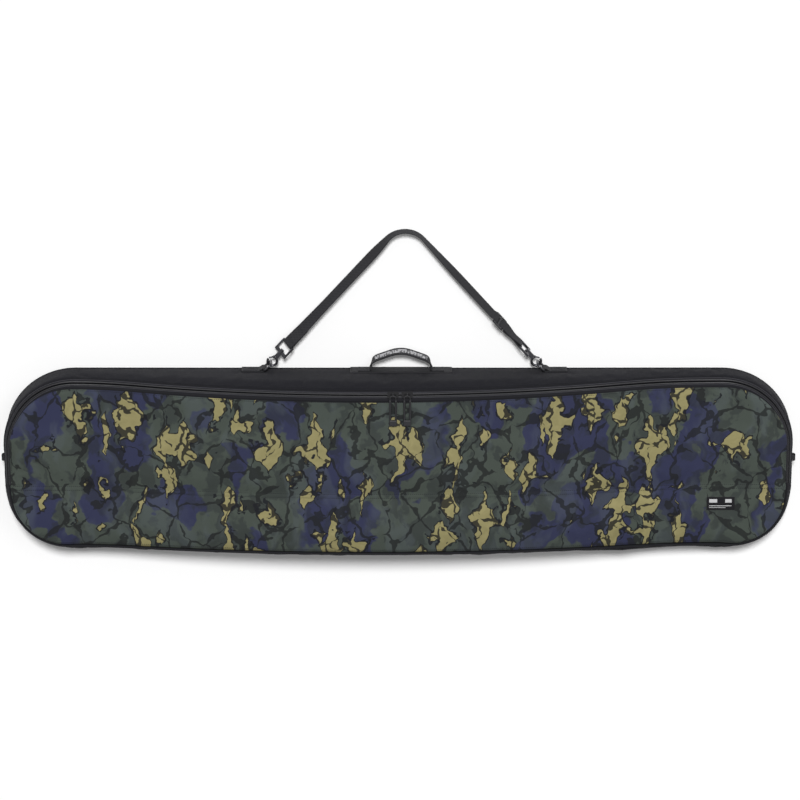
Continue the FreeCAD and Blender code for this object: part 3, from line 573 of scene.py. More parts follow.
def camouflage(name):
    """A printed twill: navy and slate ground, tall khaki patches, near-black brush lines."""
    look = Look(name, 0.8, Sheen_Weight=0.02, Sheen_Roughness=0.5, Specular_IOR_Level=0.15)
    uv, noise, moved, maths = look.uv, look.noise, look.moved, look.maths

    def pushed(vector, scale, reach):
        """The print's coordinates, pushed about by a noise so that its edges wander."""
        drift = look.node("VectorMath", {"operation": "SCALE"}, Scale=reach,
                          Vector=noise(uv, scale, 2.0, output="Color"))
        made = look.node("VectorMath", {"operation": "ADD"}, Vector=vector)
        look.feed(made.inputs[1], drift.outputs[0])
        return made.outputs[0]

    def cracks(vector, scale, thick, thin):
        """Branching lines that swell, taper and break off: 1 on a line, 0 off it."""
        cell = look.node("TexVoronoi", {"feature": "DISTANCE_TO_EDGE"}, Vector=vector,
                         Scale=scale)
        swell = maths("SUBTRACT", maths("MULTIPLY", noise(uv, scale * 2.2, 1.0), thick), thin)
        return look.step(maths("SUBTRACT", swell, cell.outputs["Distance"]), 0.0, 0.006)

    wide = pushed(uv, 11.0, 0.075)
    torn = pushed(wide, 40.0, 0.03)
    ground = look.step(noise(moved(torn, (1.15, 0.75, 1.0)), 10.5, 1.5), 0.465, 0.012)
    base = look.mix(ground, srgb(48, 51, 76), srgb(68, 75, 69))
    shade = look.step(noise(moved(torn, (1.3, 0.8, 1.0), (3, 1, 0)), 27.0, 3.5), 0.52, 0.045)
    base = look.tinted(shade, base, srgb(39, 42, 45), 0.5)
    lift = look.step(noise(moved(wide, (1.5, 0.6, 1.0), (7, 5, 0)), 15.0, 3.0), 0.56, 0.08)
    base = look.tinted(lift, base, srgb(88, 96, 102), 0.25)
    branches = cracks(moved(torn, (1.1, 0.8, 1.0), (2, 8, 0)), 15.0, 0.215, 0.07)
    base = look.tinted(branches, base, srgb(27, 28, 29), 0.8)

    # khaki patches grow round some of the cells, with ragged edges
    cells = look.node("TexVoronoi", {"distance": "MINKOWSKI"}, Scale=12.0, Exponent=0.8,
                      Vector=moved(torn, (1.45, 0.66, 1.0), (0.4, 0.2, 0)), Randomness=0.9)
    ragged = maths("MULTIPLY", noise(moved(wide, (1.4, 0.8, 1.0)), 26.0, 1.0), 1.1)
    edge = maths("ADD", cells.outputs["Distance"], ragged)
    chosen = look.node("SeparateColor", Color=cells.outputs["Color"]).outputs[0]
    chosen = look.step(chosen, 0.12, 0.01)
    inside = maths("SUBTRACT", 1.0, look.step(edge, 1.16, 0.008))
    khaki = look.mix(noise(torn, 60.0, 2.0), srgb(126, 120, 82), srgb(157, 149, 106))
    base = look.mix(maths("MULTIPLY", inside, chosen), base, khaki)

    # each patch has a drawn rim, and strokes of ink near it
    rim = maths("ABSOLUTE", maths("SUBTRACT", edge, 1.18))
    rim = maths("LESS_THAN", rim, maths("MULTIPLY", noise(uv, 34.0, 1.0), 0.085))
    near = maths("MULTIPLY", maths("LESS_THAN", edge, 1.3), chosen)
    strokes = cracks(moved(torn, (1.2, 0.7, 1.0), (5, 9, 0)), 27.0, 0.3, 0.1)
    ink = maths("MAXIMUM", maths("MULTIPLY", strokes, near), maths("MULTIPLY", rim, chosen))
    look.colour(look.tinted(ink, base, srgb(23, 24, 29), 0.9))
    look.weave(uv, 0.55 * MM, pi / 4)
    return look.material


def striped(name):
    """A pale woven stripe with plain dark dashes of thread."""
    look = Look(name, 0.6, Sheen_Weight=0.1, Specular_IOR_Level=0.3)
    look.weave(look.uv, 1.0 * MM)
    dashes = look.step(look.noise(look.moved(look.uv, (260.0, 60.0, 1.0)), 1.0, 1.0), 0.52, 0.03)
    look.colour(look.tinted(dashes, srgb(168, 168, 171), srgb(30, 30, 33), 0.8))
    return look.material


def hard(name, grey, roughness, grain, worn, lift, relief, slot=None, **inputs):
    """A hard finish: grain and worn are noises for its relief and for its lighter places."""
    look = Look(name, roughness, **inputs)
    base = srgb(*grey)
    lighter = tuple(c * lift for c in base[:3]) + (1.0,)
    look.colour(look.mix(look.noise(look.place, *worn), base, lighter))
    look.relief(look.noise(look.place, *grain), *relief)
    return look.material


def plastic(name, grey, roughness, specular=0.4, slot=None):
    return hard(name, grey, roughness, (1400.0, 2.0), (1400.0, 2.0), 1.35, (0.2, 0.15 * MM),
                slot, Specular_IOR_Level=specular)


CAMO = camouflage("camo_cloth")
CHARCOAL = plain_fabric("charcoal_cloth", (22, 22, 26), (31, 31, 36), 0.6 * MM)
BACK_CLOTH = plain_fabric("back_cloth", (38, 38, 41), (50, 50, 53), 0.9 * MM)
PIPING = plain_fabric("piping_cloth", (24, 24, 27), (38, 38, 42), 0.6 * MM)
LINING = plain_fabric("lining_cloth", (54, 54, 58), (66, 66, 70), 0.5 * MM,
                      0.55)
TAPE = plain_fabric("zipper_tape_cloth", (22, 22, 25), (36, 36, 40), 0.7 * MM)
WEBBING = plain_fabric("webbing_cloth", (12, 12, 14), (54, 54, 57), 3.4 * MM, 0.75,
                       0.03, slant=pi / 4, threads=0.75)
THREAD = plain_fabric("thread", (18, 18, 21), (36, 36, 40), 0.4 * MM, 0.6, 0.03,
                      "Object")
# the welts' pale tone is a painted highlight: their folded edges are of the dark wall cloth, drawn
# paler for the light that they catch
WELT_PAINTED_HIGHLIGHT = plain_fabric("welt_painted_highlight_cloth", (66, 66, 71), (84, 84, 90), 0.6 * MM)
STRIPE = striped("woven_stripe_cloth")
LABEL = plain_fabric("label_satin", (18, 18, 20), (30, 30, 33), 0.3 * MM, 0.5)
LABEL_THREAD = plain_fabric("label_pale_thread", (176, 176, 178),
                            (206, 206, 208), 0.3 * MM, 0.6)
COIL = plastic("zipper_coil", (30, 30, 33), 0.4, slot="zipper_chain")
SLIDER = plastic("slider_enamel", (14, 14, 16), 0.7, 0.2)
HOOK = hard("hook_plating", (52, 52, 56), 0.28, (900.0,), (300.0, 3.0), 1.8, (0.12, 0.2 * MM),
            Metallic=0.85, Coat_Weight=0.2, Coat_Roughness=0.3)
CORD_PULL = plastic("pull_cord_rubber", (22, 22, 25), 0.5, slot="pull_cord")
BUCKLE = plastic("buckle_acetal", (28, 28, 31), 0.35)


# --- sheets laid out in plan
def edge_y(x, inset, foot, end, dip_depth, side):
    """The y of an inset outline at x: side is 1 at the zipper and -1 at the lower edge."""
    past = max(abs(x) - STRAIGHT_X - inset + end, 0.0)
    rise = sqrt(max((CORNER - inset) ** 2 - past ** 2, 0.0))
    if side > 0:
        return STRAIGHT_Y + rise - (dip(x, dip_depth) if dip_depth else 0.0)
    return -(STRAIGHT_Y + inset - foot) - rise


def face_height(x, y, depth=0.0):
    """The height of the bag's front at x, y, at a depth below its surface."""
    inset = CORNER - corner_reach(x, y)[0]
    radius = SHOULDER - depth
    inside = min(max(inset - depth, 0.0), radius)
    return height(x) - depth - radius + sqrt(radius ** 2 - (radius - inside) ** 2)


def plan_columns(inset, end, pitch):
    """x stations of a sheet, closer together where its outline turns at the corners."""
    turn, start = CORNER - inset, STRAIGHT_X + inset - end
    steps = max(int(turn / pitch), 10)
    corner = [start + turn * sin(t) for t in turns(pi / 2, steps, 1)]
    straight = int(2 * start / pitch)
    middle = [start * (2 * k / straight - 1) for k in range(straight + 1)]
    return [-x for x in corner[::-1]] + middle + corner


def turned(face):
    """The face seen from its other side, from the same first corner."""
    return face[:1] + face[:0:-1]


def plan_sheet(name, insets, dip_depth, pitch, rows, level, material, body=None, down=False):
    """A sheet inside an inset outline: rows(low, high) gives shares, level(x, y) the height."""
    inset, foot, end = insets
    columns = plan_columns(inset, end, pitch)
    points = []
    for x in columns:
        low, high = (edge_y(x, inset, foot, end, dip_depth, side) for side in (-1, 1))
        for y in [low + (high - low) * share for share in rows(low, high)]:
            points.append((x, y, level(x, y)))
    faces = quads(len(columns), len(points) // len(columns))
    if not down:
        faces = [turned(face) for face in faces]
    return new_piece(name, points, faces, material, body, [p[:2] for p in points])


def roll_front(piece):
    for vertex in piece.data.vertices:
        vertex.co = rolled(vertex.co)


def seam_sink(x, y):
    """How far the two rows of stitching at the fold pull the cloth down."""
    off = min(abs(y - FOLD - FOLD_STITCH), abs(y - FOLD + FOLD_STITCH))
    return 1.3 * MM * exp(-(off / (2.2 * MM)) ** 2)


def pull_sink(x, y):
    """How far the front gives way along the band that the pulls travel over."""
    across = smooth((y - 75 * MM) / (25 * MM)) * smooth((150 * MM - y) / (20 * MM))
    return 0.35 * MM * across * smooth((345 * MM - abs(x)) / (20 * MM))


def front_cap(place):
    """The front swells freely but for the band that the pulls travel over."""
    in_band = smooth((place.y - 55 * MM) / (35 * MM))
    past_band = smooth((abs(place.x) - 325 * MM) / (60 * MM))
    return 4.5 * MM * (1 - in_band) + 1.5 * MM * in_band * past_band


def wall_cap(place):
    return 2.5 * MM


def near_box(piece, node, margins):
    """The piece's vertices within a CAD node's box and the margins round it."""
    low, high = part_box(node)
    return [v.index for v in piece.data.vertices
            if all(a - m < c < b + m for a, c, b, m in zip(low, v.co, high, margins))]


PUFF_FRAMES, PUFF_PRESSURE = 20, 2.5


def puff(piece, held, cap, shrink):
    """Swells a sheet of padded cloth between the points that its seams hold, up to a cap."""
    scene = bpy.context.scene
    rest = [v.co.copy() for v in piece.data.vertices]
    piece.vertex_groups.new(name="seams").add(held, 1.0, "REPLACE")
    cloth = piece.modifiers.new("cloth", "CLOTH")
    put(cloth.settings, vertex_group_mass="seams", pin_stiffness=1.0, use_pressure=True,
        uniform_pressure_force=PUFF_PRESSURE, shrink_min=shrink, quality=6, mass=0.4,
        tension_stiffness=25, compression_stiffness=25, bending_stiffness=1.5)
    cloth.settings.effector_weights.gravity = 0
    put(cloth.collision_settings, use_collision=False, use_self_collision=False)
    put(cloth.point_cache, frame_start=1, frame_end=PUFF_FRAMES)
    for number in range(1, PUFF_FRAMES + 1):
        scene.frame_set(number)
    swollen = piece.evaluated_get(bpy.context.evaluated_depsgraph_get()).data
    places = [v.co.copy() for v in swollen.vertices]
    scene.frame_set(1)
    piece.modifiers.clear()
    for vertex, start, end in zip(piece.data.vertices, rest, places):
        move, most = end - start, cap(start)
        if move.length > most:
            move = move.normalized() * most
        vertex.co = start + move
    piece.vertex_groups.clear()


# the camouflage front: one cloth over the lower front and the flap
camo = plan_sheet("camo_front", (PANEL, PANEL_FOOT, PANEL_END), PANEL_DIP, 7 * MM, row_shares,
                  lambda x, y: face_height(x, y) - seam_sink(x, y) - pull_sink(x, y), CAMO)
roll_front(camo)
count, rows = len(camo.data.vertices), ROWS_BELOW + ROWS_FOLD + ROWS_ABOVE + 1
seam_rows = (0, ROWS_BELOW, ROWS_BELOW + ROWS_FOLD, rows - 1)
held = [v for v in range(count) if v < rows or v >= count - rows or v % rows in seam_rows]
puff(camo, held + near_box(camo, "woven_label", (6 * MM, 5 * MM, 1)), front_cap, -0.01)
sew(subdivide(camo), "flap_cover_left", "flap_cover_middle", "flap_cover_right",
    "lower_front_cover_left", "lower_front_cover_middle", "lower_front_cover_right",
    thick=COVER, bends=True)

# the lining behind the front, a foam's depth below the cloth; the foam itself is not drawn
lining = plan_sheet("front_lining", (PANEL + HEM, PANEL_FOOT + HEM, PANEL_END + HEM), PANEL_DIP,
                    10 * MM, plain_rows, lambda x, y: face_height(x, y, PAD), LINING, down=True)
roll_front(lining)
sew(subdivide(lining), "flap_lining", "flap_foam", "lower_front_foam", thick=COVER, bends=True)

# the back panel and the tray's lining on it
back = plan_sheet("back_panel", (BACK_EDGE,) * 3, 0.0, 14 * MM, plain_rows,
                  lambda x, y: 0.4 * MM, BACK_CLOTH, "root", down=True)
sew(back, "back_cover", "back_foam", thick=COVER)
floor_lining = plan_sheet("tray_floor_lining", (BACK_EDGE,) * 3, 0.0, 14 * MM, plain_rows,
                          lambda x, y: PAD + 0.6 * MM, LINING, "root")
sew(floor_lining, thick=COVER)


# --- the walls
def wall(name, spokes, high, rows, *nodes):
    """A padded wall, held at its seams and where webbing is sewn to it."""
    piece = strip(name, spokes, WALL_FOOT, high, rows, CHARCOAL)
    count = len(spokes)
    held = [v for v in range(count * (rows + 1))
            if v < count or v >= count * rows or v % count in (0, count - 1)]
    for node in ("handle_base_strip", "strap_tab_left", "strap_tab_right", "end_loop_left",
                 "end_loop_right"):
        held += near_box(piece, node, (4 * MM,) * 3)
    puff(piece, held, wall_cap, -0.008)
    sew(piece, *nodes, thick=COVER)


wall("gusset_zip_side", zip_spokes, q_tape, 14, "gusset_top", "gusset_left_end",
     "gusset_right_end")
wall("gusset_lower_side", low_spokes, by_panel(-4.4 * MM), 16, "gusset_bottom", "wall_foam")
sew(strip("back_edge", ring, BACK, WALL_FOOT, 6, BACK_CLOTH, closed=True), thick=COVER)

# the tray's lining on the walls
sew(strip("tray_wall_lining_zip", zip_spokes, BACK, q_lining_top, 10, LINING, lift=-PAD),
    "body_lining")
sew(strip("tray_wall_lining_low", low_spokes, BACK, by_panel(HEM), 12, LINING, lift=-PAD))


def binding(name, outer, inner, body):
    """The edge of a padded layer: cloth from the cover's edge to the lining's."""
    lines = [[on_section(s, outer(s), -COVER).lerp(on_section(s, inner(s), -PAD), k / 4)
              for s in zip_spokes] for k in range(5)]
    sew(loft(name, lines, PIPING, body), bends=not body)


binding("tray_binding", q_tape, q_lining_top, "root")
binding("flap_binding", by_panel(), by_panel(HEM), None)


# --- seams, piping and zipper
def seam_line(spokes, q, lift):
    return [on_section(s, q(s), lift) for s in spokes]


def sewn_cord(name, spokes, q, lift, radius, material, *nodes, body="root", **settings):
    """A cord along a seam; one with no body is left unattached, with its placement baked into its
    mesh.
    """
    piece = tube(name, seam_line(spokes, q, lift), radius, material, body, **settings)
    sew(piece, *nodes, bends=not body)


sewn_cord("back_seam_piping", ring, WALL_FOOT, 0.4 * MM, 1.5 * MM, PIPING, closed=True)
sewn_cord("lower_front_bead", low_spokes, by_panel(-2.2 * MM), 0.6 * MM, 2.3 * MM, PIPING,
          "lower_front_piping", sides=12)
TAPE_THICK, TAPE_LIFT = 0.8 * MM, -0.3 * MM
sew(strip("rear_tape", zip_spokes, q_tape, by_zip(-SLIT), 4, TAPE, lift=TAPE_LIFT),
    "rear_zipper_tape", thick=TAPE_THICK)
sew(strip("front_tape", zip_spokes, by_zip(SLIT), by_panel(), 4, TAPE, None, lift=TAPE_LIFT),
    "front_zipper_tape", thick=TAPE_THICK, bends=True)

TOOTH = ((-1.7, -0.3), (-1.2, 0.55), (0.0, 0.8), (1.2, 0.55), (1.7, -0.3))  # across and up, mm
TOOTH_HALF, TOOTH_PITCH, COIL_MIDDLE = 0.62 * MM, 2 * MM, 2.1 * MM


def teeth(name, side, body, node):
    """One half of the coil: turns of monofilament laid across the tape's edge."""
    points, faces = [], []
    line = seam_line(zip_spokes, by_zip(side * COIL_MIDDLE), 0.3 * MM)
    inner, outer = by_zip(3 * MM), by_zip(1 * MM)
    for here, way, run in resample(line, TOOTH_PITCH, 0.0):
        spoke, base = zip_spokes[run], len(points)
        across = on_section(spoke, inner(spoke)) - on_section(spoke, outer(spoke))
        across.normalize()
        up = across.cross(way).normalized()
        up *= copysign(1, up.z)
        for u, v in TOOTH:
            middle = here + across * u * MM + up * v * MM
            points += [middle - way * TOOTH_HALF, middle + way * TOOTH_HALF]
        ends = [(0, 2, 4, 6, 8), (9, 7, 5, 3, 1), (8, 9, 1, 0)]
        faces += [tuple(base + v for v in face) for face in quads(len(TOOTH), 2) + ends]
    piece = closed_piece(name, points, faces, COIL, body, shaded=False)
    sew(piece, node, bends=not body)


teeth("rear_teeth", -1, "root", "rear_zipper_chain")
teeth("front_teeth", 1, None, "front_zipper_chain")
# the two welts beside the chain are drawn in the paler cloth: a painted highlight along their
# folded edges
sewn_cord("rear_zip_welt", zip_spokes, by_zip(-4.6 * MM), 0.1 * MM, 0.5 * MM, WELT_PAINTED_HIGHLIGHT)
sewn_cord("front_zip_welt", zip_spokes, by_zip(4.4 * MM), 0.1 * MM, 0.5 * MM, WELT_PAINTED_HIGHLIGHT, body=None)
sewn_cord("camo_edge_fold", zip_spokes, by_panel(), 0.1 * MM, 0.7 * MM, PIPING, body=None)
sewn_cord("rear_tape_seam", zip_spokes, q_tape, 0.1 * MM, 0.5 * MM, PIPING)

# threads: the fold's two rows, the panel's edge, the wall's edge
fold_rows = []
for y in (FOLD - FOLD_STITCH, FOLD + FOLD_STITCH):
    reach = STRAIGHT_X + PANEL - PANEL_END + sqrt(
        (CORNER - PANEL) ** 2 - (y + STRAIGHT_Y + PANEL - PANEL_FOOT) ** 2) - 4 * MM
    fold_rows.append([rolled(Vector((x, y, face_height(x, y) - seam_sink(x, y) + 0.35 * MM)))
                      for x in [reach * (k / 300 - 1) for k in range(601)]])
sew(stitches("fold_stitches", fold_rows, None), bends=True, slot="camo_fabric")
row = seam_line(low_spokes[1:-1], by_panel(3.5 * MM), 0.3 * MM)
sew(stitches("lower_panel_stitches", [row]), slot="camo_fabric")
row = seam_line(zip_spokes[1:-1], by_panel(3.0 * MM), 0.3 * MM)
sew(stitches("upper_panel_stitches", [row], None), bends=True, slot="camo_fabric")
row = seam_line(zip_spokes, lambda s: at_height(tape_height(s.x) - 4 * MM, height(s.x)), 0.4 * MM)
sew(stitches("wall_stitches", [row]))

# the cloth stops sewn over the zipper's two ends
STOP_STEPS, STOP_PITCH = 12, 1.25 * MM
for side, sign in SIDES:
    angles = [asin((ZIP_END - k * STOP_PITCH + STRAIGHT_Y) / CORNER)
              for k in range(STOP_STEPS + 1)]
    spokes = [Spoke(sign * STRAIGHT_X + sign * CORNER * cos(t),
                    -STRAIGHT_Y + CORNER * sin(t), sign * cos(t), sin(t))
              for t in angles]
    stop = strip(f"zip_end_patch_{side}", spokes, fixed(at_inset(2 * MM)),
                 fixed(at_inset(12.4 * MM)), 8, CHARCOAL, lift=1.1 * MM)
    sew(stop, f"zip_stop_{side}", thick=0.9 * MM)

# --- straps and webbing
# half of webbing's outline, in halves of its width and thickness: the rest is its opposite
RIBBON = ((-1.0, 0.0), (-0.985, 0.8), (-0.9, 1.0), (-0.5, 0.92), (0.0, 0.9), (0.5, 0.92),
          (0.9, 1.0), (0.985, 0.8))
BACK_UV = 0.2


def ribbon(name, spine, width, thickness, material, body="root"):
    """Flat webbing along a spine of (point, width way) with firm rounded edges."""
    shape = [(sign * u * width / 2, sign * v * thickness / 2)
             for sign in (1, -1) for u, v in RIBBON]
    count, sides = len(spine), len(shape)
    points, uv, travelled = [], [], 0.0
    for i, (here, across) in enumerate(spine):
        before = spine[i - 1][0] if i else here
        after = spine[i + 1][0] if i < count - 1 else here
        way = (after - before).normalized()
        across = (across - way * across.dot(way)).normalized()
        face = way.cross(across)
        travelled += (here - before).length
        for a, b in shape:
            points.append(here + across * a + face * b)
            uv.append((travelled, a + (BACK_UV if b < 0 else 0.0)))
    faces = [turned(one) for one in quads(count, sides, True)]
    faces += [tuple(range(sides)), tuple(range((count - 1) * sides, count * sides))[::-1]]
    return closed_piece(name, points, faces, material, body, uv)


BEND_STEP = radians(7.5)


def bend_line(corners, radii):
    """Points along straight runs joined by tangent arcs."""
    line = [corners[0]]
    for before, here, after, radius in zip(corners, corners[1:], corners[2:], radii):
        back, on = (before - here).normalized(), (after - here).normalized()
        half = back.angle(on) / 2
        centre = here + (back + on).normalized() * (radius / sin(half))
        reach = radius / tan(half)
        u, v = (here + back * reach - centre) / radius, (here + on * reach - centre) / radius
        turn = pi - 2 * half
        steps = max(int(turn / BEND_STEP), 2)
        for t in turns(turn, steps):
            line.append(centre + (u * sin(turn - t) + v * sin(t))
                        * (radius / sin(turn)))
    return line + [corners[-1]]


def spaced(line, step):
    """Extra points on the long runs of a line."""
    found = [line[0]]
    for a, b in zip(line, line[1:]):
        parts = max(int(ceil((b - a).length / step)), 1)
        found += [a.lerp(b, k / parts) for k in range(1, parts + 1)]
    return found


def sewn_box(centre, u, v, cross=True):
    """The lines of a sewn rectangle of half sizes u and v, with a cross in it."""
    corners = [centre - u - v, centre + u - v, centre + u + v, centre - u + v]
    lines = [[a, b] for a, b in zip(corners, corners[1:] + corners[:1])]
    return lines + [corners[0::2], corners[1::2]] if cross else lines


def box_stitches(name, centre, length, width):
    """A sewn rectangle with a cross, on webbing that stands along the wall."""
    lines = sewn_box(centre, X * length / 2, Z * width / 2)
    sew(stitches(name, lines, thread=BOX_THREAD), slot="webbing")


FIT = 21 * MM  # the middle height of the handle, the strap and their fittings
EDGE = 3 * MM  # from webbing's edge to its sewn border


def at_fit(x, y):
    return Vector((x, y, FIT))


# carry handle: a band with a pale woven stripe on its upper face
HANDLE_X, HANDLE_HALF, HANDLE_EASE = 5 * MM, 60 * MM, 14 * MM
HANDLE_SLOPE, CREST_BEND, HANDLE_BEND = radians(20), 60 * MM, 20 * MM
HANDLE_ROLL, HANDLE_LEAN = radians(20), radians(11)
handle_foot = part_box("handle_anchor_left")[0].y + 1.5 * MM
handle_peak = (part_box("carry_handle")[1].y - 1.5 * MM
               + CREST_BEND * (1 / cos(HANDLE_SLOPE) - 1))
handle_corner = handle_peak - HANDLE_HALF * tan(HANDLE_SLOPE)
handle_corners = [at_fit(HANDLE_X + u * HANDLE_HALF, y) for u, y in
                  ((-1, handle_foot), (-1, handle_corner), (0, handle_peak),
                   (1, handle_corner), (1, handle_foot))]
handle_line = spaced(bend_line(handle_corners, (HANDLE_BEND, CREST_BEND, HANDLE_BEND)), 4 * MM)


def handle_way(p):
    """The band's width: it leans in at the arch and rolls outwards a little down each leg."""
    down = min(max((handle_corner - p.y) / HANDLE_EASE, 0.0), 1.0)
    held = min(max((p.y - handle_foot) / HANDLE_EASE, 0.0), 1.0)
    roll = HANDLE_ROLL * down * held * copysign(1, p.x - HANDLE_X)
    lean = HANDLE_LEAN * (1 - down)
    return Vector((sin(roll), -sin(lean), cos(roll)))


handle = ribbon("handle_band", [(p, handle_way(p)) for p in handle_line], 25 * MM, 2.8 * MM,
                WEBBING, None)
sew(handle, "carry_handle", "handle_anchor_left", "handle_anchor_right")
stripe_line = [p for p in handle_line if p.y > handle_corner + 1 * MM]
stripe = ribbon("handle_stripe", [(p, handle_way(p)) for p in stripe_line], 13 * MM, 3.5 * MM,
                STRIPE, None)
sew(stripe)
for piece in (handle, stripe):
    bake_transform(piece)

# the strip that spreads the handle's load, with a sewn border and a square at each leg
low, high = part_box("handle_base_strip")
strip_line = [(at_fit(low.x + (high.x - low.x) * k / 60, (low.y + high.y) / 2), Z)
              for k in range(61)]
sew(ribbon("handle_base_webbing", strip_line, high.z - low.z, high.y - low.y, WEBBING),
    "handle_base_strip")
face_y = high.y + 0.2 * MM
border = sewn_box(Vector(((low.x + high.x) / 2, face_y, (low.z + high.z) / 2)),
                  X * ((high.x - low.x) / 2 - EDGE), Z * ((high.z - low.z) / 2 - EDGE), False)
sew(stitches("handle_base_border", border), slot="webbing")
for side, sign in SIDES:
    box_stitches(f"handle_box_{side}", at_fit(HANDLE_X + sign * (HANDLE_HALF + 14 * MM), face_y),
                 18 * MM, 20 * MM)
    # the leg's foot is folded out and sewn down on the strip
    leg, sole = HANDLE_X + sign * HANDLE_HALF, face_y + 0.9 * MM
    fold = bend_line([at_fit(leg, face_y + 7 * MM), at_fit(leg, sole),
                      at_fit(HANDLE_X + sign * (HANDLE_HALF + 26 * MM), sole)], (3 * MM,))
    sew(ribbon(f"handle_foot_{side}", [(p, Z) for p in spaced(fold, 3 * MM)], 24 * MM,
               1.8 * MM, WEBBING))

# webbing tabs, each folded round its ring's wire
TAB_EYE, TAB_PLY, TAB_JOIN = 4.1 * MM, 3.2 * MM, 11 * MM
for side, sign in SIDES:
    low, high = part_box(f"strap_tab_{side}")
    tail, nose = (low.x, high.x) if sign < 0 else (high.x, low.x)
    eye = at_fit(nose + sign * TAB_EYE, high.y - TAB_EYE)
    line = [at_fit(tail, eye.y - TAB_PLY), at_fit(eye.x, eye.y - TAB_PLY)]
    line += [eye + Vector((-sign * sin(t), -cos(t), 0)) * TAB_PLY
             for t in turns(pi, 12, 1)]
    line += [at_fit(eye.x + sign * 5 * MM, eye.y + TAB_PLY - 0.5 * MM),
             at_fit(eye.x + sign * TAB_JOIN, eye.y - 1.4 * MM), at_fit(tail, eye.y - 1.4 * MM)]
    sew(ribbon(f"ring_tab_{side}", [(p, Z) for p in spaced(line, 3 * MM)], 25 * MM, 1.7 * MM,
               WEBBING), f"strap_tab_{side}")
    box_stitches(f"ring_tab_box_{side}",
                 at_fit((tail + eye.x + sign * TAB_JOIN) / 2, eye.y - 0.4 * MM),
                 26 * MM, 18 * MM)

# the small loops of webbing at the bag's two ends
LOOP_WIDTH, LOOP_THICK, LOOP_BEND = 12 * MM, 1.6 * MM, 5.4 * MM
for side, sign in SIDES:
    low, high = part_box(f"end_loop_{side}")
    outer = high.x - LOOP_THICK / 2 if sign > 0 else low.x + LOOP_THICK / 2
    inner = (low.x if sign > 0 else high.x) - sign * 1.5 * MM
    y, foot, top = (low.y + high.y) / 2, low.z + LOOP_THICK / 2, high.z - LOOP_THICK / 2
    line = bend_line([Vector((x, y, z)) for x, z in
                      ((inner, foot), (outer, foot), (outer, top), (inner, top))],
                     (LOOP_BEND, LOOP_BEND))
    sew(ribbon(f"end_loop_webbing_{side}", [(p, Y) for p in spaced(line, 2 * MM)], LOOP_WIDTH,
               LOOP_THICK, WEBBING), f"end_loop_{side}")

# --- the shoulder strap
STRAP_WIDTH, PLY, PLY_STEP, WRAP = 25 * MM, 1.5 * MM, 1.7 * MM, 3.05 * MM
APEX_BEND, END_PLY, BAR = 48 * MM, 48 * MM, 4 * MM
joints = {joint["name"]: joint for joint in frame["record"]["behaviour"]["joints"]}
left_swivel, right_swivel = (joints[f"{side}_hook_swivel"] for side, _ in SIDES)
up_way, back_way = (Vector(j["axis"]).normalized() for j in (left_swivel, right_swivel))
left_eye, right_eye = Vector(left_swivel["pos_m"]), Vector(right_swivel["pos_m"])
down_way = -back_way
face_way = down_way.cross(up_way).normalized()
crest = intersect_line_line(left_eye, left_eye + up_way, right_eye, right_eye + down_way)[0]


def bar_centre(node, eye, way):
    """The middle of the bar at the far end of a hook's loop."""
    reach = max(v.co.dot(way) for v in frame["nodes"][node].data.vertices)
    return eye + way * (reach - BAR / 2 - eye.dot(way))


left_bar = bar_centre("left_hook_loop", left_eye, up_way)
right_bar = bar_centre("right_hook_loop", right_eye, back_way)
arc_turn = up_way.angle(down_way)
cut_back = APEX_BEND * tan(arc_turn / 2)
RISE = (crest - left_bar).length - cut_back
FALL = RISE + APEX_BEND * arc_turn
STRAP_LENGTH = FALL + (crest - right_bar).length - cut_back
ADJUSTER = STRAP_LENGTH - 63 * MM
bend_centre = left_bar + up_way * RISE - face_way.cross(up_way) * APEX_BEND


def strap_line(place):
    """A point of the strap's middle line and the line's direction there."""
    if place < RISE:
        return left_bar + up_way * place, up_way
    if place > FALL:
        return right_bar - down_way * (STRAP_LENGTH - place), down_way
    way = Matrix.Rotation((RISE - place) / APEX_BEND, 3, face_way) @ up_way
    return bend_centre + face_way.cross(way) * APEX_BEND, way


def keyed(keys, place):
    """A value that eases from key to key."""
    if place <= keys[0][0]:
        return keys[0][1]
    for (a, u), (b, v) in zip(keys, keys[1:]):
        if place <= b:
            return u + (v - u) * smooth((place - a) / (b - a))
    return keys[-1][1]


# how far the strap leans towards the bag along its run, in degrees
rolls = [(20 * MM, 50), (120 * MM, 36), (240 * MM, 36), ((RISE + FALL) / 2, 4),
         (FALL + 120 * MM, 25), (ADJUSTER + 20 * MM, 25), (STRAP_LENGTH - 10 * MM, 10)]


def strap_at(place, offset):
    """A point of the strap and its width's direction, at a place along and an offset across."""
    here, way = strap_line(place)
    roll = radians(keyed(rolls, place))
    side = face_way.cross(way)
    normal = side * cos(roll) + face_way * sin(roll)
    return here + normal * offset, face_way * cos(roll) - side * sin(roll)


def ply_path(*keys, step=2.5 * MM):
    """Places and offsets along a run of the strap, eased between keys."""
    start, end = keys[0][0], keys[-1][0]
    count, forward = max(int(abs(end - start) / step), 2), sorted(keys)
    places = [start + (end - start) * k / count for k in range(count + 1)]
    return [(place, keyed(forward, place)) for place in places]


def round_bar(place, sign):
    """Half a turn of webbing round a hook's bar."""
    return [(place + sign * WRAP * sin(t), sign * WRAP * cos(t))
            for t in turns(pi, 10, 1, 1)]


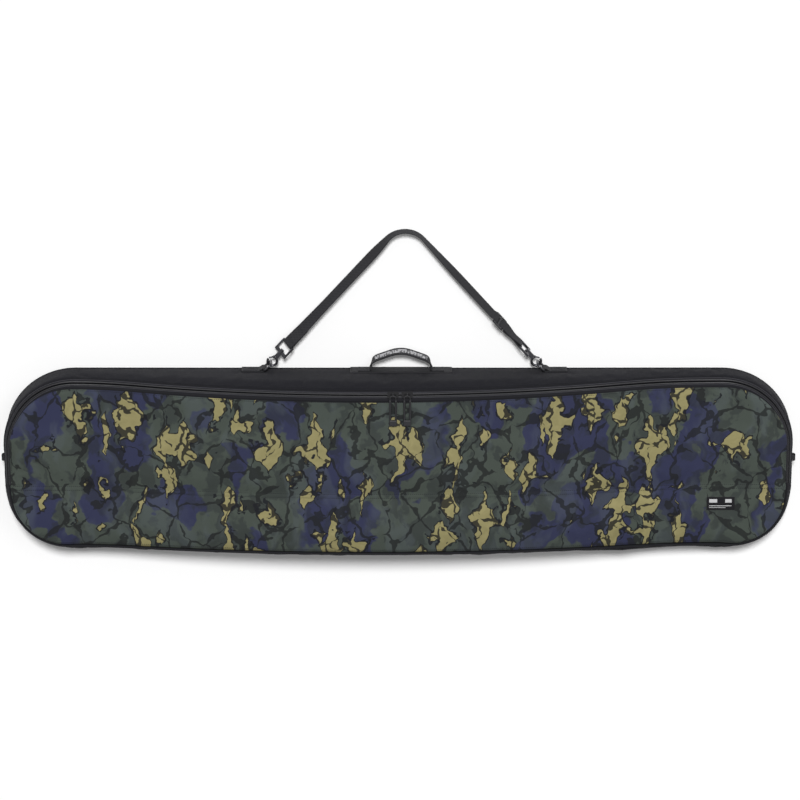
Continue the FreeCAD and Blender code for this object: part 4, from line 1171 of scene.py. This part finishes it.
# the webbing's weave through the adjuster: its height, and distances from the middle bar
WEAVE, IN, OUT, HOLD, LEAD = 2.1 * MM, 1.5 * MM, 10.5 * MM, 13.8 * MM, 8 * MM
PINCH, APPROACH = STRAP_LENGTH - 25 * MM, ADJUSTER - HOLD - LEAD
run = ply_path((END_PLY, -PLY_STEP), (14 * MM, -PLY_STEP), (0.0, -WRAP))
run += round_bar(0.0, -1)
run += ply_path((0.0, WRAP), (END_PLY, 0.0))
run += ply_path((END_PLY, 0.0), (APPROACH, 0.0))[1:]
run += ply_path((APPROACH, 0.0), (ADJUSTER - HOLD, WEAVE), (ADJUSTER - OUT, WEAVE),
                (ADJUSTER - IN, -WEAVE), (ADJUSTER + IN, -WEAVE), (ADJUSTER + OUT, WEAVE),
                (ADJUSTER + HOLD, WEAVE), step=1 * MM)[1:]
run += ply_path((ADJUSTER + HOLD, WEAVE), (PINCH, PLY_STEP / 2), (STRAP_LENGTH, WRAP))[1:]
run += round_bar(STRAP_LENGTH, 1)
run += ply_path((STRAP_LENGTH, -WRAP), (PINCH, -PLY_STEP / 2),
                (ADJUSTER + HOLD + 3 * MM, -WEAVE))
sew(ribbon("strap_band", [strap_at(*place) for place in run], STRAP_WIDTH, PLY, WEBBING,
           "shoulder_strap"), "strap_webbing")
rows = []
for place in (9 * MM, 12 * MM, 38 * MM, 41 * MM):
    here, width = strap_at(place, keyed([(0.0, WRAP), (END_PLY, 0.0)], place) + 0.8 * MM)
    rows.append([here - width * 11 * MM, here + width * 11 * MM])
sew(stitches("strap_end_stitches", rows, "shoulder_strap", BOX_THREAD), slot="webbing")

# --- the label
# each ring of a patch: its size against the outline, and its height against the thickness
PATCH_RINGS = ((1.0, 0.0), (1.0, 0.6), (0.985, 0.92), (0.96, 1.0), (0.5, 1.0))


def plaque(name, low, high, z, thickness, material, corner, *nodes):
    """A flat woven patch with rounded corners and softened edges."""
    (x0, y0), (x1, y1) = low, high
    middle, outline = Vector(((x0 + x1) / 2, (y0 + y1) / 2)), []
    for sx, sy, start in ((1, 1, 0), (-1, 1, 90), (-1, -1, 180), (1, -1, 270)):
        centre = Vector(((x1 if sx > 0 else x0) - sx * corner,
                         (y1 if sy > 0 else y0) - sy * corner))
        for t in [radians(start + k * 15) for k in range(7)]:
            outline.append(centre + Vector((cos(t), sin(t))) * corner)
    points = [(middle + (p - middle) * shrink).to_3d() + Z * (z + thickness * level)
              for shrink, level in PATCH_RINGS for p in outline]
    sew(closed_piece(name, points, skin(len(PATCH_RINGS), len(outline)), material, "root",
                     [p.xy for p in points]), *nodes, slot="label_fabric")


low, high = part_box("woven_label")
centre = (low + high) / 2
plaque("label_patch", low.xy, high.xy, low.z, high.z - low.z, LABEL, 1.0 * MM, "woven_label")
# plain bars stand in for the lettering, in mm from the label's centre
BARS = (((-23, 2), (-7, 9.5), LABEL_THREAD), ((-4, 2), (4.5, 9.5), CHARCOAL),
        ((9, 2), (22, 9.5), LABEL_THREAD), ((-23, -5.6), (22, -4.2), LABEL_THREAD),
        ((-23, -9.2), (10, -8.2), LABEL_THREAD))
for number, (start, end, material) in enumerate(BARS):
    plaque(f"label_bar_{number}", centre.xy + Vector(start) * MM, centre.xy + Vector(end) * MM,
           high.z - 0.1 * MM, 0.22 * MM, material, 0.3 * MM)
HEM_ROW = 1.6 * MM
border = sewn_box(Vector((centre.x, centre.y, high.z + 0.1 * MM)),
                  X * ((high.x - low.x) / 2 - HEM_ROW), Y * ((high.y - low.y) / 2 - HEM_ROW),
                  False)
sew(stitches("label_stitches", border, thread=FINE_THREAD), slot="label_fabric")

# --- the pulls: each wire is sleeved in a thick cord, with a moulded grip at its free end
PULL_HALF, PULL_RISE, SLEEVE, SLEEVE_LENGTH = 5.7 * MM, 0.85 * MM, 2.1 * MM, 54 * MM
for side, _ in SIDES:
    low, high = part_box(f"zip_pull_{side}")
    hinge = Vector(joints[f"{side}_pull_swing"]["pos_m"])
    middle = (low.x + high.x) / 2
    end = Vector((middle, low.y + 1.3 * MM, low.z + 1.3 * MM))
    way = (end - Vector((middle, hinge.y, hinge.z))).normalized()
    raised = X.cross(way) * copysign(PULL_RISE, X.cross(way).z)
    top, foot = end - way * SLEEVE_LENGTH + raised, end - way * PULL_HALF + raised
    turn = [foot + (way * sin(t) - X * cos(t)) * PULL_HALF
            for t in turns(pi, 12, 1, 1)]
    line = spaced([top - X * PULL_HALF, foot - X * PULL_HALF] + turn
                  + [foot + X * PULL_HALF, top + X * PULL_HALF], 3 * MM)
    sew(tube(f"pull_sleeve_{side}", line, SLEEVE, CORD_PULL, f"{side}_pull", sides=12))
    spine = [(foot + raised * 0.2 + way * (k * 2 - 6) * MM, X) for k in range(7)]
    sew(ribbon(f"pull_grip_{side}", spine, 15 * MM, 4.6 * MM, CORD_PULL, f"{side}_pull"))

# --- the CAD's own hardware
finishes = {"strap_adjuster": BUCKLE}
for side, _ in SIDES:
    finishes[f"zip_slider_{side}"] = SLIDER
    finishes[f"zip_pull_{side}"] = CORD_PULL
    for name in (f"strap_ring_{side}", f"{side}_hook", f"{side}_hook_gate",
                 f"{side}_hook_loop"):
        finishes[name] = HOOK
for name, material in finishes.items():
    materials = frame["nodes"][name].data.materials
    materials.clear()
    materials.append(material)

# --- floor, light and camera
FLOOR_REACH, FLOOR_LEVEL, FLOOR_GLOW = 30.0, -0.0004, 0.07
floor_look = Look("floor_paint", 0.9, Specular_IOR_Level=0.0,
                  Emission_Color=(1, 1, 1, 1))
tint = floor_look.noise(floor_look.place, 0.4)
floor_look.colour(floor_look.mix(tint, (0.93, 0.93, 0.93, 1), (0.94, 0.94, 0.94, 1)))
floor_look.feed(floor_look.shader.inputs["Emission Strength"],
                floor_look.maths("MULTIPLY", floor_look.seen(), FLOOR_GLOW))
floor = new_piece("floor", [(x * FLOOR_REACH, y * FLOOR_REACH, FLOOR_LEVEL)
                            for x, y in ((-1, -1), (1, -1), (1, 1), (-1, 1))],
                  [(0, 1, 2, 3)], floor_look.material, None)

world = bpy.data.worlds.new("studio")
bpy.context.scene.world = world
world.use_nodes = True
sky = Nodes(world.node_tree)
ambient = world.node_tree.nodes["Background"]
ambient.inputs["Color"].default_value = (1.0, 1.0, 1.0, 1.0)
ambient.inputs["Strength"].default_value = 0.2
white = sky.node("Background", Strength=1.0)
choose = sky.node("MixShader", Fac=sky.seen())
sky.feed(choose.inputs[1], ambient.outputs[0])
sky.feed(choose.inputs[2], white.outputs[0])
sky.feed(world.node_tree.nodes["World Output"].inputs[0], choose.outputs[0])


def lamp(name, kind, way, place=(0, 0, 0), **settings):
    """A lamp that shines along a way."""
    light = put(bpy.data.lights.new(name, kind), **settings)
    holder = put(bpy.data.objects.new(name, light), location=place, rotation_mode="QUATERNION",
                 rotation_quaternion=Vector(way).to_track_quat("-Z", "Y"))
    bpy.context.scene.collection.objects.link(holder)


lamp("key_light", "SUN", (0.0, -0.515, -0.857), energy=2.83, angle=radians(12))
FILL_PLACE = Vector((1.4, 1.6, 3.4))
lamp("fill_light", "AREA", -FILL_PLACE, FILL_PLACE, shape="SQUARE", size=1.6, energy=12)

ELEVATION, DISTANCE, VIEW_WIDTH, SENSOR = radians(70), 8.0, 1.592, 36.0
TARGET = Vector((0.003, 0.1304, 0.06))
lens = put(bpy.data.cameras.new("camera"), sensor_width=SENSOR,
           lens=SENSOR * DISTANCE / VIEW_WIDTH)
towards = Vector((0, cos(ELEVATION), sin(ELEVATION)))
camera = put(bpy.data.objects.new("camera", lens), location=TARGET + towards * DISTANCE,
             rotation_euler=(ELEVATION - pi / 2, 0, 0))
bpy.context.scene.collection.objects.link(camera)
bpy.context.scene.camera = camera
bpy.context.scene.view_settings.view_transform = "Standard"
